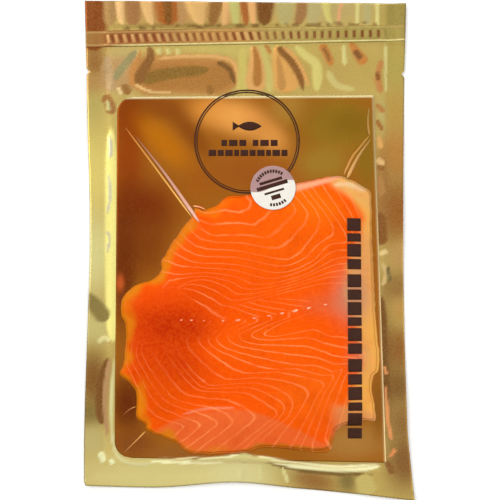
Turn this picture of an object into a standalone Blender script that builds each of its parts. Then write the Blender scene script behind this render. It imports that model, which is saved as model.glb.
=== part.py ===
"""Vacuum pouch of cold smoked salmon slices on a gold card, lying on its back.

The pack lies flat in the XY plane with its clear front up (+Z).  Its zip end
is at +Y and its length runs along Y.  The origin is on the surface it rests
on, under the middle of the pouch.  Units are metres.
"""

import math

import bmesh
import bpy
from mathutils import Vector

MM = 0.001

# --- The pouch, seen from above -------------------------------------------
PACK_NAME = "smoked_salmon_pack"
# Each side edge is a smooth curve through (y, x); the pouch is pinched at its waist.
LEFT_EDGE = ((-121.4, -81.9), (-93.0, -82.3), (-2.0, -80.5), (92.0, -83.2), (128.7, -84.7))
RIGHT_EDGE = ((-128.7, 84.7), (-93.0, 81.5), (-2.0, 80.4), (92.0, 82.0), (127.1, 83.3))
# The bottom seal has buckled, so its edge is a wave through (x, y).
BOTTOM_EDGE = (
    (-81.9, -121.4), (-44.0, -122.3), (-6.0, -119.6), (23.5, -122.5), (57.0, -125.6), (84.7, -128.7),
)
TOP_EDGE = ((-84.7, 128.7), (83.3, 127.1))
CORNER_RADIUS = 2.0
SIDE_SEAL = 10.0
BOTTOM_SEAL = 12.5

# --- Tear notches in both side seals --------------------------------------
NOTCH_DEPTH = 1.6
NOTCH_HEIGHT = 3.0
NOTCH_LEFT_Y = 90.9
NOTCH_RIGHT_Y = 89.6

# --- The card under the fish ----------------------------------------------
CARD_CORNERS = ((-67.0, 77.4), (66.0, 78.2), (70.5, -109.8), (-66.6, -107.4))
CARD_THICK = 1.2
CARD_SLOPE = 3.0

# --- The fish: a smooth closed outline, clockwise from its top ------------
FISH_OUTLINE = (
    (-26, 20), (-10, 25), (22, 32), (48, 36), (63, 28), (64, 8), (66, -28), (67, -60),
    (64, -74), (64, -88), (46, -93), (40, -103), (2, -104), (-28, -105), (-50, -94),
    (-56, -78), (-64, -65), (-62, -44), (-64, -28), (-48, -16), (-42, -4), (-30, 14),
)
FISH_THICK = 6.2
FISH_SLOPE = 9.0
FISH_REACH = 2.5
SWELL_COUNT = 2.2
SWELL_HEIGHT = 0.35

# --- Thicknesses -----------------------------------------------------------
GAP = 0.3
BACK_THICK = 0.4
FRONT_THICK = 0.5
FILM_LIFT = 0.5
FILM_RISE = 8.0
FRONT_BASE = BACK_THICK + GAP
SEAL_TOP = FRONT_BASE + FRONT_THICK

# --- Soft folds in the header above the zip and below it --------------------
FOLD_SPACING = 19.0
FOLD_HEIGHT = 0.5
FOLD_MIDDLE_Y = 98.0
FOLD_REACH = 34.0

# --- The zip ---------------------------------------------------------------
ZIP_LEFT = (-83.6, 108.2)
ZIP_RIGHT = (82.2, 111.5)
ZIP_WIDTH = 8.6
ZIP_RAIL_WIDTH = 1.9
ZIP_RAIL_HEIGHT = 1.5
ZIP_BAND_HEIGHT = 0.45
ZIP_CRIMP_HEIGHT = 0.35
ZIP_CRIMP_PITCH = 4.2
ZIP_FLAT_SHARE = 0.35
ZIP_BASE_THICK = 0.25
ZIP_BASE = SEAL_TOP + GAP
ZIP_MARGIN = 5.0

# --- The round label -------------------------------------------------------
LABEL_CENTRE = (13.6, 29.7)
LABEL_RADIUS = 11.6
LABEL_THICK = 0.25
LABEL_GAP = 0.5

# --- Mesh densities ----------------------------------------------------------
FRONT_COLUMNS = 48
FRONT_ROWS = 64
ZIP_COLUMNS_PER_CRIMP = 2
ZIP_ROWS = 10
LABEL_CELLS = 10
OUTLINE_STEP = 4.0
CURVE_STEPS = 5


def clear_scene():
    for obj in list(bpy.data.objects):
        bpy.data.objects.remove(obj, do_unlink=True)


def new_collection(name, hidden=False):
    collection = bpy.data.collections.new(name)
    collection.hide_render = hidden
    bpy.context.scene.collection.children.link(collection)
    return collection


# --- Curves and distances -----------------------------------------------------
def hermite(before, start, end, after, t):
    """Catmull-Rom value between start and end."""
    slope_in = (end - before) / 2
    slope_out = (after - start) / 2
    t2 = t * t
    t3 = t2 * t
    return (
        (2 * t3 - 3 * t2 + 1) * start
        + (t3 - 2 * t2 + t) * slope_in
        + (3 * t2 - 2 * t3) * end
        + (t3 - t2) * slope_out
    )


def along(knots, at):
    """The value at `at` of a smooth curve through (position, value) knots."""
    at = min(max(at, knots[0][0]), knots[-1][0])
    last = len(knots) - 2
    i = next((k for k in range(last) if at <= knots[k + 1][0]), last)
    t = (at - knots[i][0]) / (knots[i + 1][0] - knots[i][0])
    values = [value for _, value in knots]
    before = values[i - 1] if i > 0 else 2 * values[i] - values[i + 1]
    after = values[i + 2] if i < last else 2 * values[i + 1] - values[i]
    return hermite(before, values[i], values[i + 1], after, t)


def closed_curve(points, steps):
    """A smooth closed loop of Vectors through the points."""
    count = len(points)
    loop = []
    for i in range(count):
        near = [points[(i + k) % count] for k in (-1, 0, 1, 2)]
        for step in range(steps):
            t = step / steps
            loop.append(Vector([hermite(*[p[axis] for p in near], t) for axis in (0, 1)]))
    return loop


def depth_in_polygon(point, polygon):
    """Distance to the polygon's edge, positive inside it."""
    nearest = math.inf
    inside = False
    for a, b in zip(polygon, polygon[1:] + polygon[:1]):
        along_edge = b - a
        share = max(0.0, min(1.0, (point - a).dot(along_edge) / along_edge.length_squared))
        nearest = min(nearest, (a + along_edge * share - point).length)
        if (a.y > point.y) != (b.y > point.y):
            crossing = a.x + (point.y - a.y) / (b.y - a.y) * (b.x - a.x)
            if point.x < crossing:
                inside = not inside
    return nearest if inside else -nearest


def smooth(value, start, end):
    t = max(0.0, min(1.0, (value - start) / (end - start)))
    return t * t * (3 - 2 * t)


# --- The pouch's outline --------------------------------------------------------
def left_edge(y):
    return along(LEFT_EDGE, y)


def right_edge(y):
    return along(RIGHT_EDGE, y)


def bottom_edge(x):
    return along(BOTTOM_EDGE, x)


def top_edge(x):
    (x0, y0), (x1, y1) = TOP_EDGE
    return y0 + (y1 - y0) * (x - x0) / (x1 - x0)


def in_pouch(u, v):
    """Maps the unit square onto the pouch's outline, v from bottom to top."""
    y = TOP_EDGE[0][1] * (2 * v - 1)
    for _ in range(3):
        x = left_edge(y) * (1 - u) + right_edge(y) * u
        y = bottom_edge(x) * (1 - v) + top_edge(x) * v
    return x, y


def notch_points(y, side):
    """The three corners of one notch, bottom to top."""
    edge = left_edge if side < 0 else right_edge
    half = NOTCH_HEIGHT / 2
    tip = edge(y) - side * NOTCH_DEPTH
    return [(edge(y - half), y - half), (tip, y), (edge(y + half), y + half)]


def side_points(edge, low, high, notch_y, side):
    """Points up one side of the pouch, with its notch."""
    count = round((high - low) / OUTLINE_STEP)
    levels = [low + (high - low) * i / count for i in range(1, count)]
    clear = NOTCH_HEIGHT / 2 + OUTLINE_STEP / 3
    below = [(edge(y), y) for y in levels if y < notch_y - clear]
    above = [(edge(y), y) for y in levels if y > notch_y + clear]
    return below + notch_points(notch_y, side) + above


def outline_points():
    """The pouch's outline with its notches, anticlockwise from bottom left."""
    bottom_left = (BOTTOM_EDGE[0][0] + CORNER_RADIUS / 3, BOTTOM_EDGE[0][1])
    low_left = (left_edge(bottom_left[1] + CORNER_RADIUS), bottom_left[1] + CORNER_RADIUS)
    bottom_right = (RIGHT_EDGE[0][1], RIGHT_EDGE[0][0])
    count = round((bottom_right[0] - bottom_left[0]) / OUTLINE_STEP)
    widths = [bottom_left[0] + (bottom_right[0] - bottom_left[0]) * i / count for i in range(1, count)]
    bottom = [bottom_left] + [(x, bottom_edge(x)) for x in widths] + [bottom_right]
    right = side_points(right_edge, bottom_right[1], TOP_EDGE[1][1], NOTCH_RIGHT_Y, 1)
    left = side_points(left_edge, low_left[1], TOP_EDGE[0][1], NOTCH_LEFT_Y, -1)
    return bottom + right + [TOP_EDGE[1], TOP_EDGE[0]] + left[::-1] + [low_left]


# --- The pouch's relief -----------------------------------------------------------
CARD_LOOP = [Vector(corner) for corner in CARD_CORNERS]
FISH_LOOP = closed_curve(FISH_OUTLINE, CURVE_STEPS)


def film_lift(x, y):
    """The film between the flat seals and the card stands a little clear."""
    from_sides = min(x - left_edge(y), right_edge(y) - x) - SIDE_SEAL
    from_bottom = y - bottom_edge(x) - BOTTOM_SEAL
    return FILM_LIFT * smooth(min(from_sides, from_bottom), 0, FILM_RISE)


def header_folds(x, y):
    """Soft flutes that run along the pouch at its open end."""
    reach = smooth(FOLD_REACH - abs(y - FOLD_MIDDLE_Y), 0, FOLD_REACH / 2)
    from_sides = min(x - left_edge(y), right_edge(y) - x) - SIDE_SEAL
    wave = 0.5 - 0.5 * math.cos(2 * math.pi * x / FOLD_SPACING + y / FOLD_SPACING)
    return FOLD_HEIGHT * wave * reach * smooth(from_sides, 0, FILM_RISE)


def clear_of_zip(x, y):
    """0 under the zip, where the film is drawn flat, and 1 away from it."""
    (x0, y0), (x1, y1) = ZIP_LEFT, ZIP_RIGHT
    middle = y0 + (y1 - y0) * (x - x0) / (x1 - x0)
    return smooth(abs(y - middle) - ZIP_WIDTH / 2, ZIP_MARGIN, 2 * ZIP_MARGIN)


def fish_height(x, y):
    depth = depth_in_polygon(Vector((x, y)), FISH_LOOP)
    rounded = smooth(depth, -FISH_REACH, FISH_SLOPE)
    angle = SWELL_COUNT * math.pi
    swell = math.sin(angle * x / LEFT_EDGE[-1][1]) * math.sin(angle * y / TOP_EDGE[0][1])
    return (FISH_THICK + SWELL_HEIGHT * swell) * rounded


def front_height(x, y):
    """The height of the pouch's front over the surface that it lies on."""
    card = CARD_THICK * smooth(depth_in_polygon(Vector((x, y)), CARD_LOOP), -CARD_SLOPE, 0)
    slack = (film_lift(x, y) + header_folds(x, y)) * clear_of_zip(x, y)
    return SEAL_TOP + slack + card + fish_height(x, y)


# --- Making objects ---------------------------------------------------------------
def material(name, colour, roughness, metallic=0.0, transmission=0.0):
    made = bpy.data.materials.new(name)
    made.use_nodes = True
    shader = made.node_tree.nodes["Principled BSDF"]
    shader.inputs["Base Color"].default_value = (*colour, 1.0)
    shader.inputs["Roughness"].default_value = roughness
    shader.inputs["Metallic"].default_value = metallic
    shader.inputs["Transmission Weight"].default_value = transmission
    return made


def object_from_bmesh(name, mesh_data, collection, look=None):
    mesh = bpy.data.meshes.new(name)
    mesh_data.to_mesh(mesh)
    mesh_data.free()
    obj = bpy.data.objects.new(name, mesh)
    collection.objects.link(obj)
    if look:
        mesh.materials.append(look)
    return obj


def shaped_grid(columns, rows, place):
    """A grid whose every point goes where place(u, v) says, in millimetres."""
    grid = bmesh.new()
    bmesh.ops.create_grid(grid, x_segments=columns, y_segments=rows, size=0.5)
    for vertex in grid.verts:
        vertex.co = Vector(place(vertex.co.x + 0.5, vertex.co.y + 0.5)) * MM
    return grid


def close_below(sheet, base):
    """Drops walls from the sheet's edge to a flat base and caps it there."""
    rim = [edge for edge in sheet.edges if edge.is_boundary]
    made = bmesh.ops.extrude_edge_only(sheet, edges=rim)["geom"]
    for vertex in made:
        if isinstance(vertex, bmesh.types.BMVert):
            vertex.co.z = base * MM
    foot = [edge for edge in made if isinstance(edge, bmesh.types.BMEdge)]
    bmesh.ops.contextual_create(sheet, geom=foot)
    bmesh.ops.recalc_face_normals(sheet, faces=sheet.faces)


def notch_cutter(name, y, side, collection):
    """A three-sided prism, longer than the film is thick."""
    low, tip, high = [Vector(corner) for corner in notch_points(y, side)]
    wide = [corner + (corner - tip) for corner in (low, high)]
    prism = bmesh.new()
    height = SEAL_TOP * 2
    loop = [prism.verts.new((p.x * MM, p.y * MM, -height * MM)) for p in (tip, *wide)]
    face = prism.faces.new(loop)
    top = bmesh.ops.extrude_face_region(prism, geom=[face])["geom"]
    for vertex in top:
        if isinstance(vertex, bmesh.types.BMVert):
            vertex.co.z = height * MM
    bmesh.ops.recalc_face_normals(prism, faces=prism.faces)
    cutter = object_from_bmesh(name, prism, collection)
    cutter.display_type = "WIRE"
    cutter.hide_render = True
    return cutter


def cut(obj, cutter):
    modifier = obj.modifiers.new("cut_" + cutter.name, "BOOLEAN")
    modifier.operation = "DIFFERENCE"
    modifier.solver = "EXACT"
    modifier.object = cutter


# --- Sub-parts -----------------------------------------------------------------------
def make_back(collection):
    """The gold foil back web: a flat sheet in the pouch's outline."""
    curve = bpy.data.curves.new("pouch_back", "CURVE")
    curve.dimensions = "2D"
    curve.fill_mode = "BOTH"
    curve.extrude = BACK_THICK / 2 * MM
    points = outline_points()
    spline = curve.splines.new("POLY")
    spline.points.add(len(points) - 1)
    for point, (x, y) in zip(spline.points, points):
        point.co = (x * MM, y * MM, 0, 1)
    spline.use_cyclic_u = True
    back = bpy.data.objects.new("pouch_back", curve)
    back.location.z = BACK_THICK / 2 * MM
    collection.objects.link(back)
    curve.materials.append(material("gold_foil", (0.75, 0.56, 0.20), 0.25, metallic=1.0))
    return back


def make_front(collection, cutters):
    """The clear front with the card and the fish that it is drawn down on."""

    def place(u, v):
        x, y = in_pouch(u, v)
        return x, y, front_height(x, y)

    sheet = shaped_grid(FRONT_COLUMNS, FRONT_ROWS, place)
    close_below(sheet, FRONT_BASE)
    look = material("clear_film", (0.95, 0.35, 0.12), 0.15, transmission=0.2)
    front = object_from_bmesh("pouch_front", sheet, collection, look)
    front.data.shade_smooth()
    front.data.set_sharp_from_angle(angle=math.radians(40))
    for cutter in cutters:
        cut(front, cutter)
    return front


def zip_profile(v, wave, share):
    """Height over the zip's own base: two rails with a crimped band between."""
    across = abs(2 * v - 1) * ZIP_WIDTH / 2
    rail_middle = (ZIP_WIDTH - ZIP_RAIL_WIDTH) / 2
    off = min(1.0, abs(across - rail_middle) / (ZIP_RAIL_WIDTH / 2))
    rail = ZIP_RAIL_HEIGHT * math.sqrt(1 - off * off)
    crimped = ZIP_BAND_HEIGHT + ZIP_CRIMP_HEIGHT * wave
    band = crimped if across < rail_middle else 0.0
    return ZIP_BASE_THICK + share * max(rail, band)


def make_zip(collection):
    """The press-to-close zip, flattened where the side seals cross it."""
    start = Vector(ZIP_LEFT)
    end = Vector(ZIP_RIGHT)
    run = end - start
    crimps = round(run.length / ZIP_CRIMP_PITCH)
    columns = crimps * ZIP_COLUMNS_PER_CRIMP
    across = Vector((-run.y, run.x)).normalized() * ZIP_WIDTH

    def place(u, v):
        at = start + run * u + across * (v - 0.5)
        from_end = min(u, 1 - u) * run.length
        share = ZIP_FLAT_SHARE + (1 - ZIP_FLAT_SHARE) * smooth(from_end, SIDE_SEAL - 2, SIDE_SEAL + 2)
        wave = 0.5 - 0.5 * math.cos(2 * math.pi * u * crimps)
        return at.x, at.y, ZIP_BASE + zip_profile(v, wave, share)

    strip = shaped_grid(columns, ZIP_ROWS, place)
    close_below(strip, ZIP_BASE)
    look = material("zip_plastic", (0.80, 0.66, 0.34), 0.30)
    obj = object_from_bmesh("zip_strip", strip, collection, look)
    obj.data.shade_smooth()
    obj.data.set_sharp_from_angle(angle=math.radians(50))
    return obj


def make_label(collection):
    """The round label, draped where the film climbs from the card to the fish."""

    def place(u, v):
        a = 2 * u - 1
        b = 2 * v - 1
        x = LABEL_CENTRE[0] + LABEL_RADIUS * a * math.sqrt(1 - b * b / 2)
        y = LABEL_CENTRE[1] + LABEL_RADIUS * b * math.sqrt(1 - a * a / 2)
        return x, y, front_height(x, y) + LABEL_GAP

    disc = shaped_grid(LABEL_CELLS, LABEL_CELLS, place)
    look = material("label_paper", (0.86, 0.84, 0.78), 0.40)
    label = object_from_bmesh("round_label", disc, collection, look)
    label.data.shade_smooth()
    thickness = label.modifiers.new("thickness", "SOLIDIFY")
    thickness.thickness = LABEL_THICK * MM
    thickness.offset = 1.0
    return label


def build():
    clear_scene()
    pack = new_collection(PACK_NAME)
    tools = new_collection("cutters", hidden=True)
    cutters = [
        notch_cutter("left_notch", NOTCH_LEFT_Y, -1, tools),
        notch_cutter("right_notch", NOTCH_RIGHT_Y, 1, tools),
    ]
    make_back(pack)
    make_front(pack, cutters)
    make_zip(pack)
    make_label(pack)


build()
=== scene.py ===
"""Looks of a vacuum pouch of cold smoked salmon slices, lying on its back.

Everything is worked out in millimetres on a height field seen from above, and
becomes metres when a mesh is made.  +Y runs along the pouch to its zip.
"""

import math

import bmesh
import bpy
import numpy as np
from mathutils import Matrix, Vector
from mathutils.kdtree import KDTree


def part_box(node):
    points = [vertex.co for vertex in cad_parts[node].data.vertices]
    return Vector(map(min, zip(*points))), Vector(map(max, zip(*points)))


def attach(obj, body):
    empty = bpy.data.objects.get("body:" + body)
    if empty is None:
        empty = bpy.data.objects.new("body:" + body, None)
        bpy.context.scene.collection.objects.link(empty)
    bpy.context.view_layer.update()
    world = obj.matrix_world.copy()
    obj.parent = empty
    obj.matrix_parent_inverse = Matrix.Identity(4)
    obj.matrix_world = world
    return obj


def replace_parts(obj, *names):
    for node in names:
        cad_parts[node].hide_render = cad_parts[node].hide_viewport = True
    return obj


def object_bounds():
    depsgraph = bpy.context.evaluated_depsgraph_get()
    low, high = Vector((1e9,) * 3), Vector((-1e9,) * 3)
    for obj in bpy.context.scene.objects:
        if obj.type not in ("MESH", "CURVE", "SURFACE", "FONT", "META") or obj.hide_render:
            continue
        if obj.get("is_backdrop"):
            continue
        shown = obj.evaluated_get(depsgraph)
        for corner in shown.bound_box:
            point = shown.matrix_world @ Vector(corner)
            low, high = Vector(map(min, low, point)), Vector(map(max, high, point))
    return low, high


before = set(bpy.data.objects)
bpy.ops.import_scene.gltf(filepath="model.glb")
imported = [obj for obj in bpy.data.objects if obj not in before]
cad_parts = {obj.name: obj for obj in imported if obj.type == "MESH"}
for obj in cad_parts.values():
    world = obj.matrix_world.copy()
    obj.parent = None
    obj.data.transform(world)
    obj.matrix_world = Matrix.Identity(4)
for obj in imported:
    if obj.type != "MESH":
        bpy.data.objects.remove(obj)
cad_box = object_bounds()

MM = 0.001

# --- Heights and thicknesses of the layers, from the table up ---
FOIL_Z = 0.2
FILM_GAP = 0.22
CARD_BASE = 0.75
CARD_THICK = 1.1
FISH_BASE = CARD_BASE + CARD_THICK + 0.05
SLICE_COUNT = 3
FISH_TOP = FISH_BASE + 5.2
FISH_EDGE = 0.9
FISH_SHOULDER = 20.0
FISH_CLEARANCE = 0.06
ZIP_SINK = 0.06
PRINT_LIFT = 0.07
LABEL_LIFT = 0.24
LABEL_PRINT_LIFT = 0.31
FOLD_HEIGHT = 0.34
FILM_SLOPE = 0.55  # the steepest that the film falls away from what is under it
FILM_REACH = 9.0
FOIL_THICK = 0.12
ZIP_THICK = 0.2
LABEL_THICK = 0.14
INK_THICK = 0.04

# --- The pouch ---
SIDE_SEAL = 10.0
BOTTOM_SEAL = 12.0
EDGE_ZONE = 8.0
POUCH_COLUMNS = 176
POUCH_ROWS = 270

# --- The card: corners anticlockwise from top left; the left ones are rounded ---
CARD_CORNERS = ((-67.0, 77.4), (-66.6, -107.4), (70.5, -109.8), (66.0, 78.2))
CARD_RADIUS = 8.5
CARD_COLUMNS = 170
CARD_ROWS = 240

# --- The fish's outline, clockwise from its upper left ---
FISH_CENTRE = (1.0, -38.0)
FISH_OUTLINE = (
    (-29, 14), (-26, 20), (-22, 18.5), (-15, 21), (-10, 25), (2, 26.5), (26, 32), (47, 36),
    (61, 30), (64, 25), (64, 8), (65, -28), (67, -60), (64, -66), (63, -73), (65, -87.5),
    (59, -88.5), (46, -92), (43, -98), (39, -103.5), (10, -102), (-2, -104.7), (-27, -105),
    (-36, -99.7), (-50, -94), (-51, -91), (-55.5, -87), (-56, -75), (-59, -70), (-64.5, -65),
    (-62.5, -60), (-61.5, -42), (-64, -35), (-63.5, -27), (-57, -20.3), (-48, -17.5),
    (-43.5, -12.5), (-43, -7), (-35, 6),
)
RIM_WIDTH = 6.2  # of the darker rim along the fish's left side
# The mesh of a slice: vertices round each ring, rings over its top, and rings under it.
SPOKES = 520
RINGS = 84
UNDER_RINGS = 6
# How far each lower slice shows past the one above it, as (direction in degrees, spread, reach).
LOWER_SLICES = (
    ((-20, 26, 0.7), (-95, 20, 0.3)),
    ((12, 30, 0.5), (-58, 14, 1.2)),
)

# --- Muscle bands ---
FAT_LINE_WIDTH = 0.14  # as a share of a band, on either side of the line
# Each guide is a line of fat between two bands, with the number of bands up to it.
# The lines between guides are blended from their neighbours.
UPPER_GUIDES = (
    (-2, ((-26, 19), (-22, 17), (-18, 17), (-11, 18), (-4, 17), (-1, 18), (1, 19), (2, 22), (0, 26))),
    (0, ((-21, 7), (-17, 5), (-9, 5), (0, 5), (10, 4), (15, 7), (21, 13), (25, 18), (19, 26))),
    (2, ((-32, 5), (-28, 1), (-20, -2), (-4, -3), (16, -7), (24, -6), (31, 1), (37, 13), (28, 28))),
    (4, ((-38, -3), (-33, -6), (-25, -9), (-5, -10), (17, -14), (32, -9), (42, 0), (51, 4), (34, 29))),
    (6, ((-40, -14), (-34, -15), (-21, -14), (-6, -16), (6, -20), (27, -16), (45, -7), (61, -2),
        (45, 31))),
    (8, ((-33, -21), (-27, -18), (-19, -18), (-11, -21), (-2, -25), (20, -21), (42, -14), (66, -6),
        (56, 31))),
    (10, ((-34, -23), (-31, -22), (-24, -24), (-18, -27), (-9, -31), (8, -27), (36, -20), (69, -14),
        (66, 30))),
)
WEDGE_GUIDES = (
    (12, ((-26, -28), (-18, -33), (-11, -38))),
    (11, ((-9, -31), (-3, -33), (8, -37))),
    (9, ((1, -29), (8, -31), (26, -34))),
    (7, ((13, -27), (27, -28), (43, -30))),
)
LOWER_GUIDES = (
    (0, ((28, -36), (17, -40), (9, -45), (16, -46), (33, -43), (42, -46), (50, -47), (63, -51), (64, -56),
        (64, -66), (63, -78))),
    (2, ((10, -39), (3, -42), (-4, -46), (4, -50), (28, -51), (36, -53), (45, -56), (56, -58), (53, -67),
        (50, -78), (47, -90))),
    (4, ((-3, -40), (-10, -43), (-15, -47), (-8, -53), (22, -60), (35, -61), (44, -64), (48, -63),
        (44, -71), (40, -80), (34, -98))),
    (6, ((-14, -41), (-21, -44), (-24, -48), (-19, -54), (-3, -64), (15, -64), (30, -67), (39, -70),
        (35, -77), (30, -88), (23, -101))),
    (8, ((-27, -41), (-33, -45), (-36, -50), (-32, -58), (-20, -70), (-7, -70), (8, -70), (22, -77),
        (21, -86), (12, -94), (2, -104))),
    (10, ((-36, -41), (-42, -45), (-44, -50), (-38, -58), (-26, -72), (-12, -74), (1, -75), (15, -84),
        (10, -90), (1, -97), (-7, -104))),
    (12, ((-46, -42), (-51, -47), (-53, -54), (-49, -62), (-38, -76), (-28, -80), (-17, -82), (-7, -88),
        (-12, -94), (-19, -99), (-25, -104))),
    (15, ((-58, -44), (-61, -50), (-61, -59), (-58, -66), (-52, -78), (-48, -84), (-41, -88), (-32, -91),
        (-34, -94), (-37, -97), (-40, -98))),
)
LATERAL_LINE = (
    (-66, -37), (-49, -39), (-33, -38), (-12, -38.4), (4, -37), (24, -33.4), (42, -29.8), (57, -27),
    (75, -25),
)
WEDGE_TOP = (
    (-70, -21), (-49, -21), (-36, -23), (-26, -28), (-16, -31), (-9, -31), (1, -29), (13, -27), (28, -28),
    (43, -29.5), (75, -24),
)
# Right of this edge, given as (y, x), the flesh is a thin pale fringe.
PALE_EDGE = (
    (-90, 44), (-75, 50), (-60, 56), (-40, 53), (-25, 46), (-11, 49), (0, 54), (14, 57), (25, 50),
    (34, 43),
)
LATERAL_FLECKS = (-33, -27.8, -21.5, -11.9, -4.3, 3.8, 11.3, 17.9, 24.5, 31.5, 39.9)

# --- The zip ---
ZIP_WIDTH = 8.6
ZIP_RAIL = 1.9
ZIP_HEIGHT = 0.5
ZIP_PITCH = 4.2

# --- The print and the sticker ---
RING_CENTRE = (0.2, 54.2)
RINGS_PRINTED = ((26.6, 27.3), (25.6, 26.1))  # inner and outer radius of each
BADGE_FISH_Y = 62
LABEL_TURN = 17.0

# --- The camera ---
LENS = 70
SENSOR = 36
CAMERA_DISTANCE = 0.5
CAMERA_TILT = 4.0
CAMERA_TARGET = (1.75, -2.05)

# --- Colours, as sRGB ---
FOIL_GOLD = "C4A95C"
CARD_GOLD = "A8641A"
CARD_SHADE = 0.9  # share of each card tone that is kept
FLESH = "FF5800"
FLESH_DARK = "C62A00"
FLESH_SHADE = 0.88  # share of each flesh tone that is kept, since flesh is lit more evenly than foil
FAT = "FFA060"
RIM = "E2860E"
PALE_FLESH = "F6B858"
# painted reflection of the loose film over the fish's foot
LOOSE_FILM_SHEEN = "F0703A"
INK = "30140A"


def colour(code):
    """Linear RGB of an sRGB hex code."""
    srgb = np.array([int(code[i:i + 2], 16) for i in (0, 2, 4)]) / 255
    return np.where(srgb <= 0.04045, srgb / 12.92, ((srgb + 0.055) / 1.055) ** 2.4)


# --- Curves and fields ---
def smooth(value, start, end):
    t = np.clip((value - start) / (end - start), 0, 1)
    return t * t * (3 - 2 * t)


def spline(points, steps, closed=False):
    """A Catmull-Rom curve through the points, as an array."""
    points = np.asarray(points, float)
    if closed:
        padded = np.concatenate([points[-1:], points, points[:2]])
    else:
        first = 2 * points[0] - points[1]
        last = 2 * points[-1] - points[-2]
        padded = np.concatenate([[first], points, [last]])
    t = np.arange(steps)[:, None] / steps
    pieces = []
    for a, b, c, d in zip(padded, padded[1:], padded[2:], padded[3:]):
        curve = 2 * b + (c - a) * t + (2 * a - 5 * b + 4 * c - d) * t**2 + (3 * b - a - 3 * c + d) * t**3
        pieces.append(curve / 2)
    if not closed:
        pieces.append(points[-1:])
    return np.concatenate(pieces)


def level_on(path, x):
    """How high the curve through a path runs at x."""
    curve = spline(path, 8)
    return np.interp(x, curve[:, 0], curve[:, 1])


def depth_in(x, y, loop):
    """Distance inside a closed loop, negative outside it."""
    nearest = np.full(x.shape, 1e9)
    inside = np.zeros(x.shape, bool)
    for (ax, ay), (bx, by) in zip(loop, np.roll(loop, -1, axis=0)):
        dx, dy = bx - ax, by - ay
        t = np.clip(((x - ax) * dx + (y - ay) * dy) / max(dx * dx + dy * dy, 1e-9), 0, 1)
        nearest = np.minimum(nearest, np.hypot(x - ax - t * dx, y - ay - t * dy))
        if ay != by:
            crosses = (ay > y) != (by > y)
            inside ^= crosses & (x < ax + (y - ay) * dx / dy)
    return np.where(inside, nearest, -nearest)


def noise(x, y, cell, seed):
    """Smooth value noise between -1 and 1 with features about one cell wide."""
    rng = np.random.default_rng(seed)
    size = 64
    values = rng.uniform(-1, 1, (size, size))
    gx, gy = x / cell + 200.5, y / cell + 200.5
    ix, iy = np.floor(gx).astype(int), np.floor(gy).astype(int)
    fx, fy = smooth(gx - ix, 0, 1), smooth(gy - iy, 0, 1)
    corner = lambda a, b: values[(ix + a) % size, (iy + b) % size]
    low = corner(0, 0) * (1 - fx) + corner(1, 0) * fx
    high = corner(0, 1) * (1 - fx) + corner(1, 1) * fx
    return low * (1 - fy) + high * fy


def blob(x, y, cx, cy, rx, ry, turn=0.0, strength=1.0):
    """A soft oval patch, at its full strength in the centre."""
    angle = math.radians(turn)
    dx, dy = x - cx, y - cy
    u = (dx * math.cos(angle) + dy * math.sin(angle)) / rx
    v = (dy * math.cos(angle) - dx * math.sin(angle)) / ry
    return strength * np.exp(-((u * u + v * v) ** 1.4))


def stroke(x, y, start, end, path):
    """1 along a path and 0 away from it; its half-width goes from start to end, and both ends fade."""
    path = spline(path, 6)
    reach = 2.5 * max(start, end)
    low, high = path.min(axis=0) - reach, path.max(axis=0) + reach
    near = (x > low[0]) & (x < high[0]) & (y > low[1]) & (y < high[1])
    px, py = x[near], y[near]
    best = np.full(px.shape, 1e9)
    where = np.zeros(px.shape)
    last = len(path) - 1
    for i in range(last):
        (ax, ay), (bx, by) = path[i], path[i + 1]
        dx, dy = bx - ax, by - ay
        t = np.clip(((px - ax) * dx + (py - ay) * dy) / (dx * dx + dy * dy), 0, 1)
        away = np.hypot(px - ax - t * dx, py - ay - t * dy)
        where = np.where(away < best, (i + t) / last, where)
        best = np.minimum(best, away)
    ends = smooth(where, 0, 0.08) * smooth(1 - where, 0, 0.08)
    taper = smooth(where, -0.08, 0.2) * smooth(1 - where, -0.08, 0.2)
    width = (start + (end - start) * where) * taper
    share = np.zeros(x.shape)
    share[near] = np.exp(-((best / width) ** 3)) * ends
    return share


# --- The pouch's outline, read from the CAD back sheet ---
def read_edges(node):
    """Interpolators for the left, right, bottom and top edges of the pouch's flat back sheet."""
    points = np.array([v.co for v in node.data.vertices])[:, :2] / MM
    loop = points[np.argsort(np.arctan2(points[:, 1], points[:, 0]))]
    corners = [np.argmax(loop @ direction) for direction in ((-1, -1), (1, -1), (1, 1), (-1, 1))]
    edges = []
    for first, last, key in zip(corners, corners[1:] + corners[:1], (0, 1, 0, 1)):
        run = np.arange(first, first + (last - first) % len(loop) + 1) % len(loop)
        side = loop[run][np.argsort(loop[run][:, key])]
        edges.append(lambda at, side=side, key=key: np.interp(at, side[:, key], side[:, 1 - key]))
    bottom, right, top, left = edges
    return left, right, bottom, top


def in_pouch(u, v):
    """Maps the unit square onto the pouch's outline."""
    y = pack_top * (2 * v - 1)
    for _ in range(3):
        x = left_edge(y) * (1 - u) + right_edge(y) * u
        y = bottom_edge(x) * (1 - v) + top_edge(x) * v
    return x, y


# --- Height fields ---
def from_sides(x, y):
    return np.minimum(x - left_edge(y), right_edge(y) - x)


def from_bottom(x, y):
    return y - bottom_edge(x)


def zip_across(x, y):
    """Distance across the zip from its middle line, and along it from its nearer end."""
    low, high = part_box("zip_strip")
    length = (high.x - low.x) / MM
    rise = (high.y - low.y) / MM - ZIP_WIDTH
    middle = (low.y + high.y) / 2 / MM + rise * (x - (low.x + high.x) / 2 / MM) / length
    return y - middle, np.minimum(x - low.x / MM, high.x / MM - x)


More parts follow.
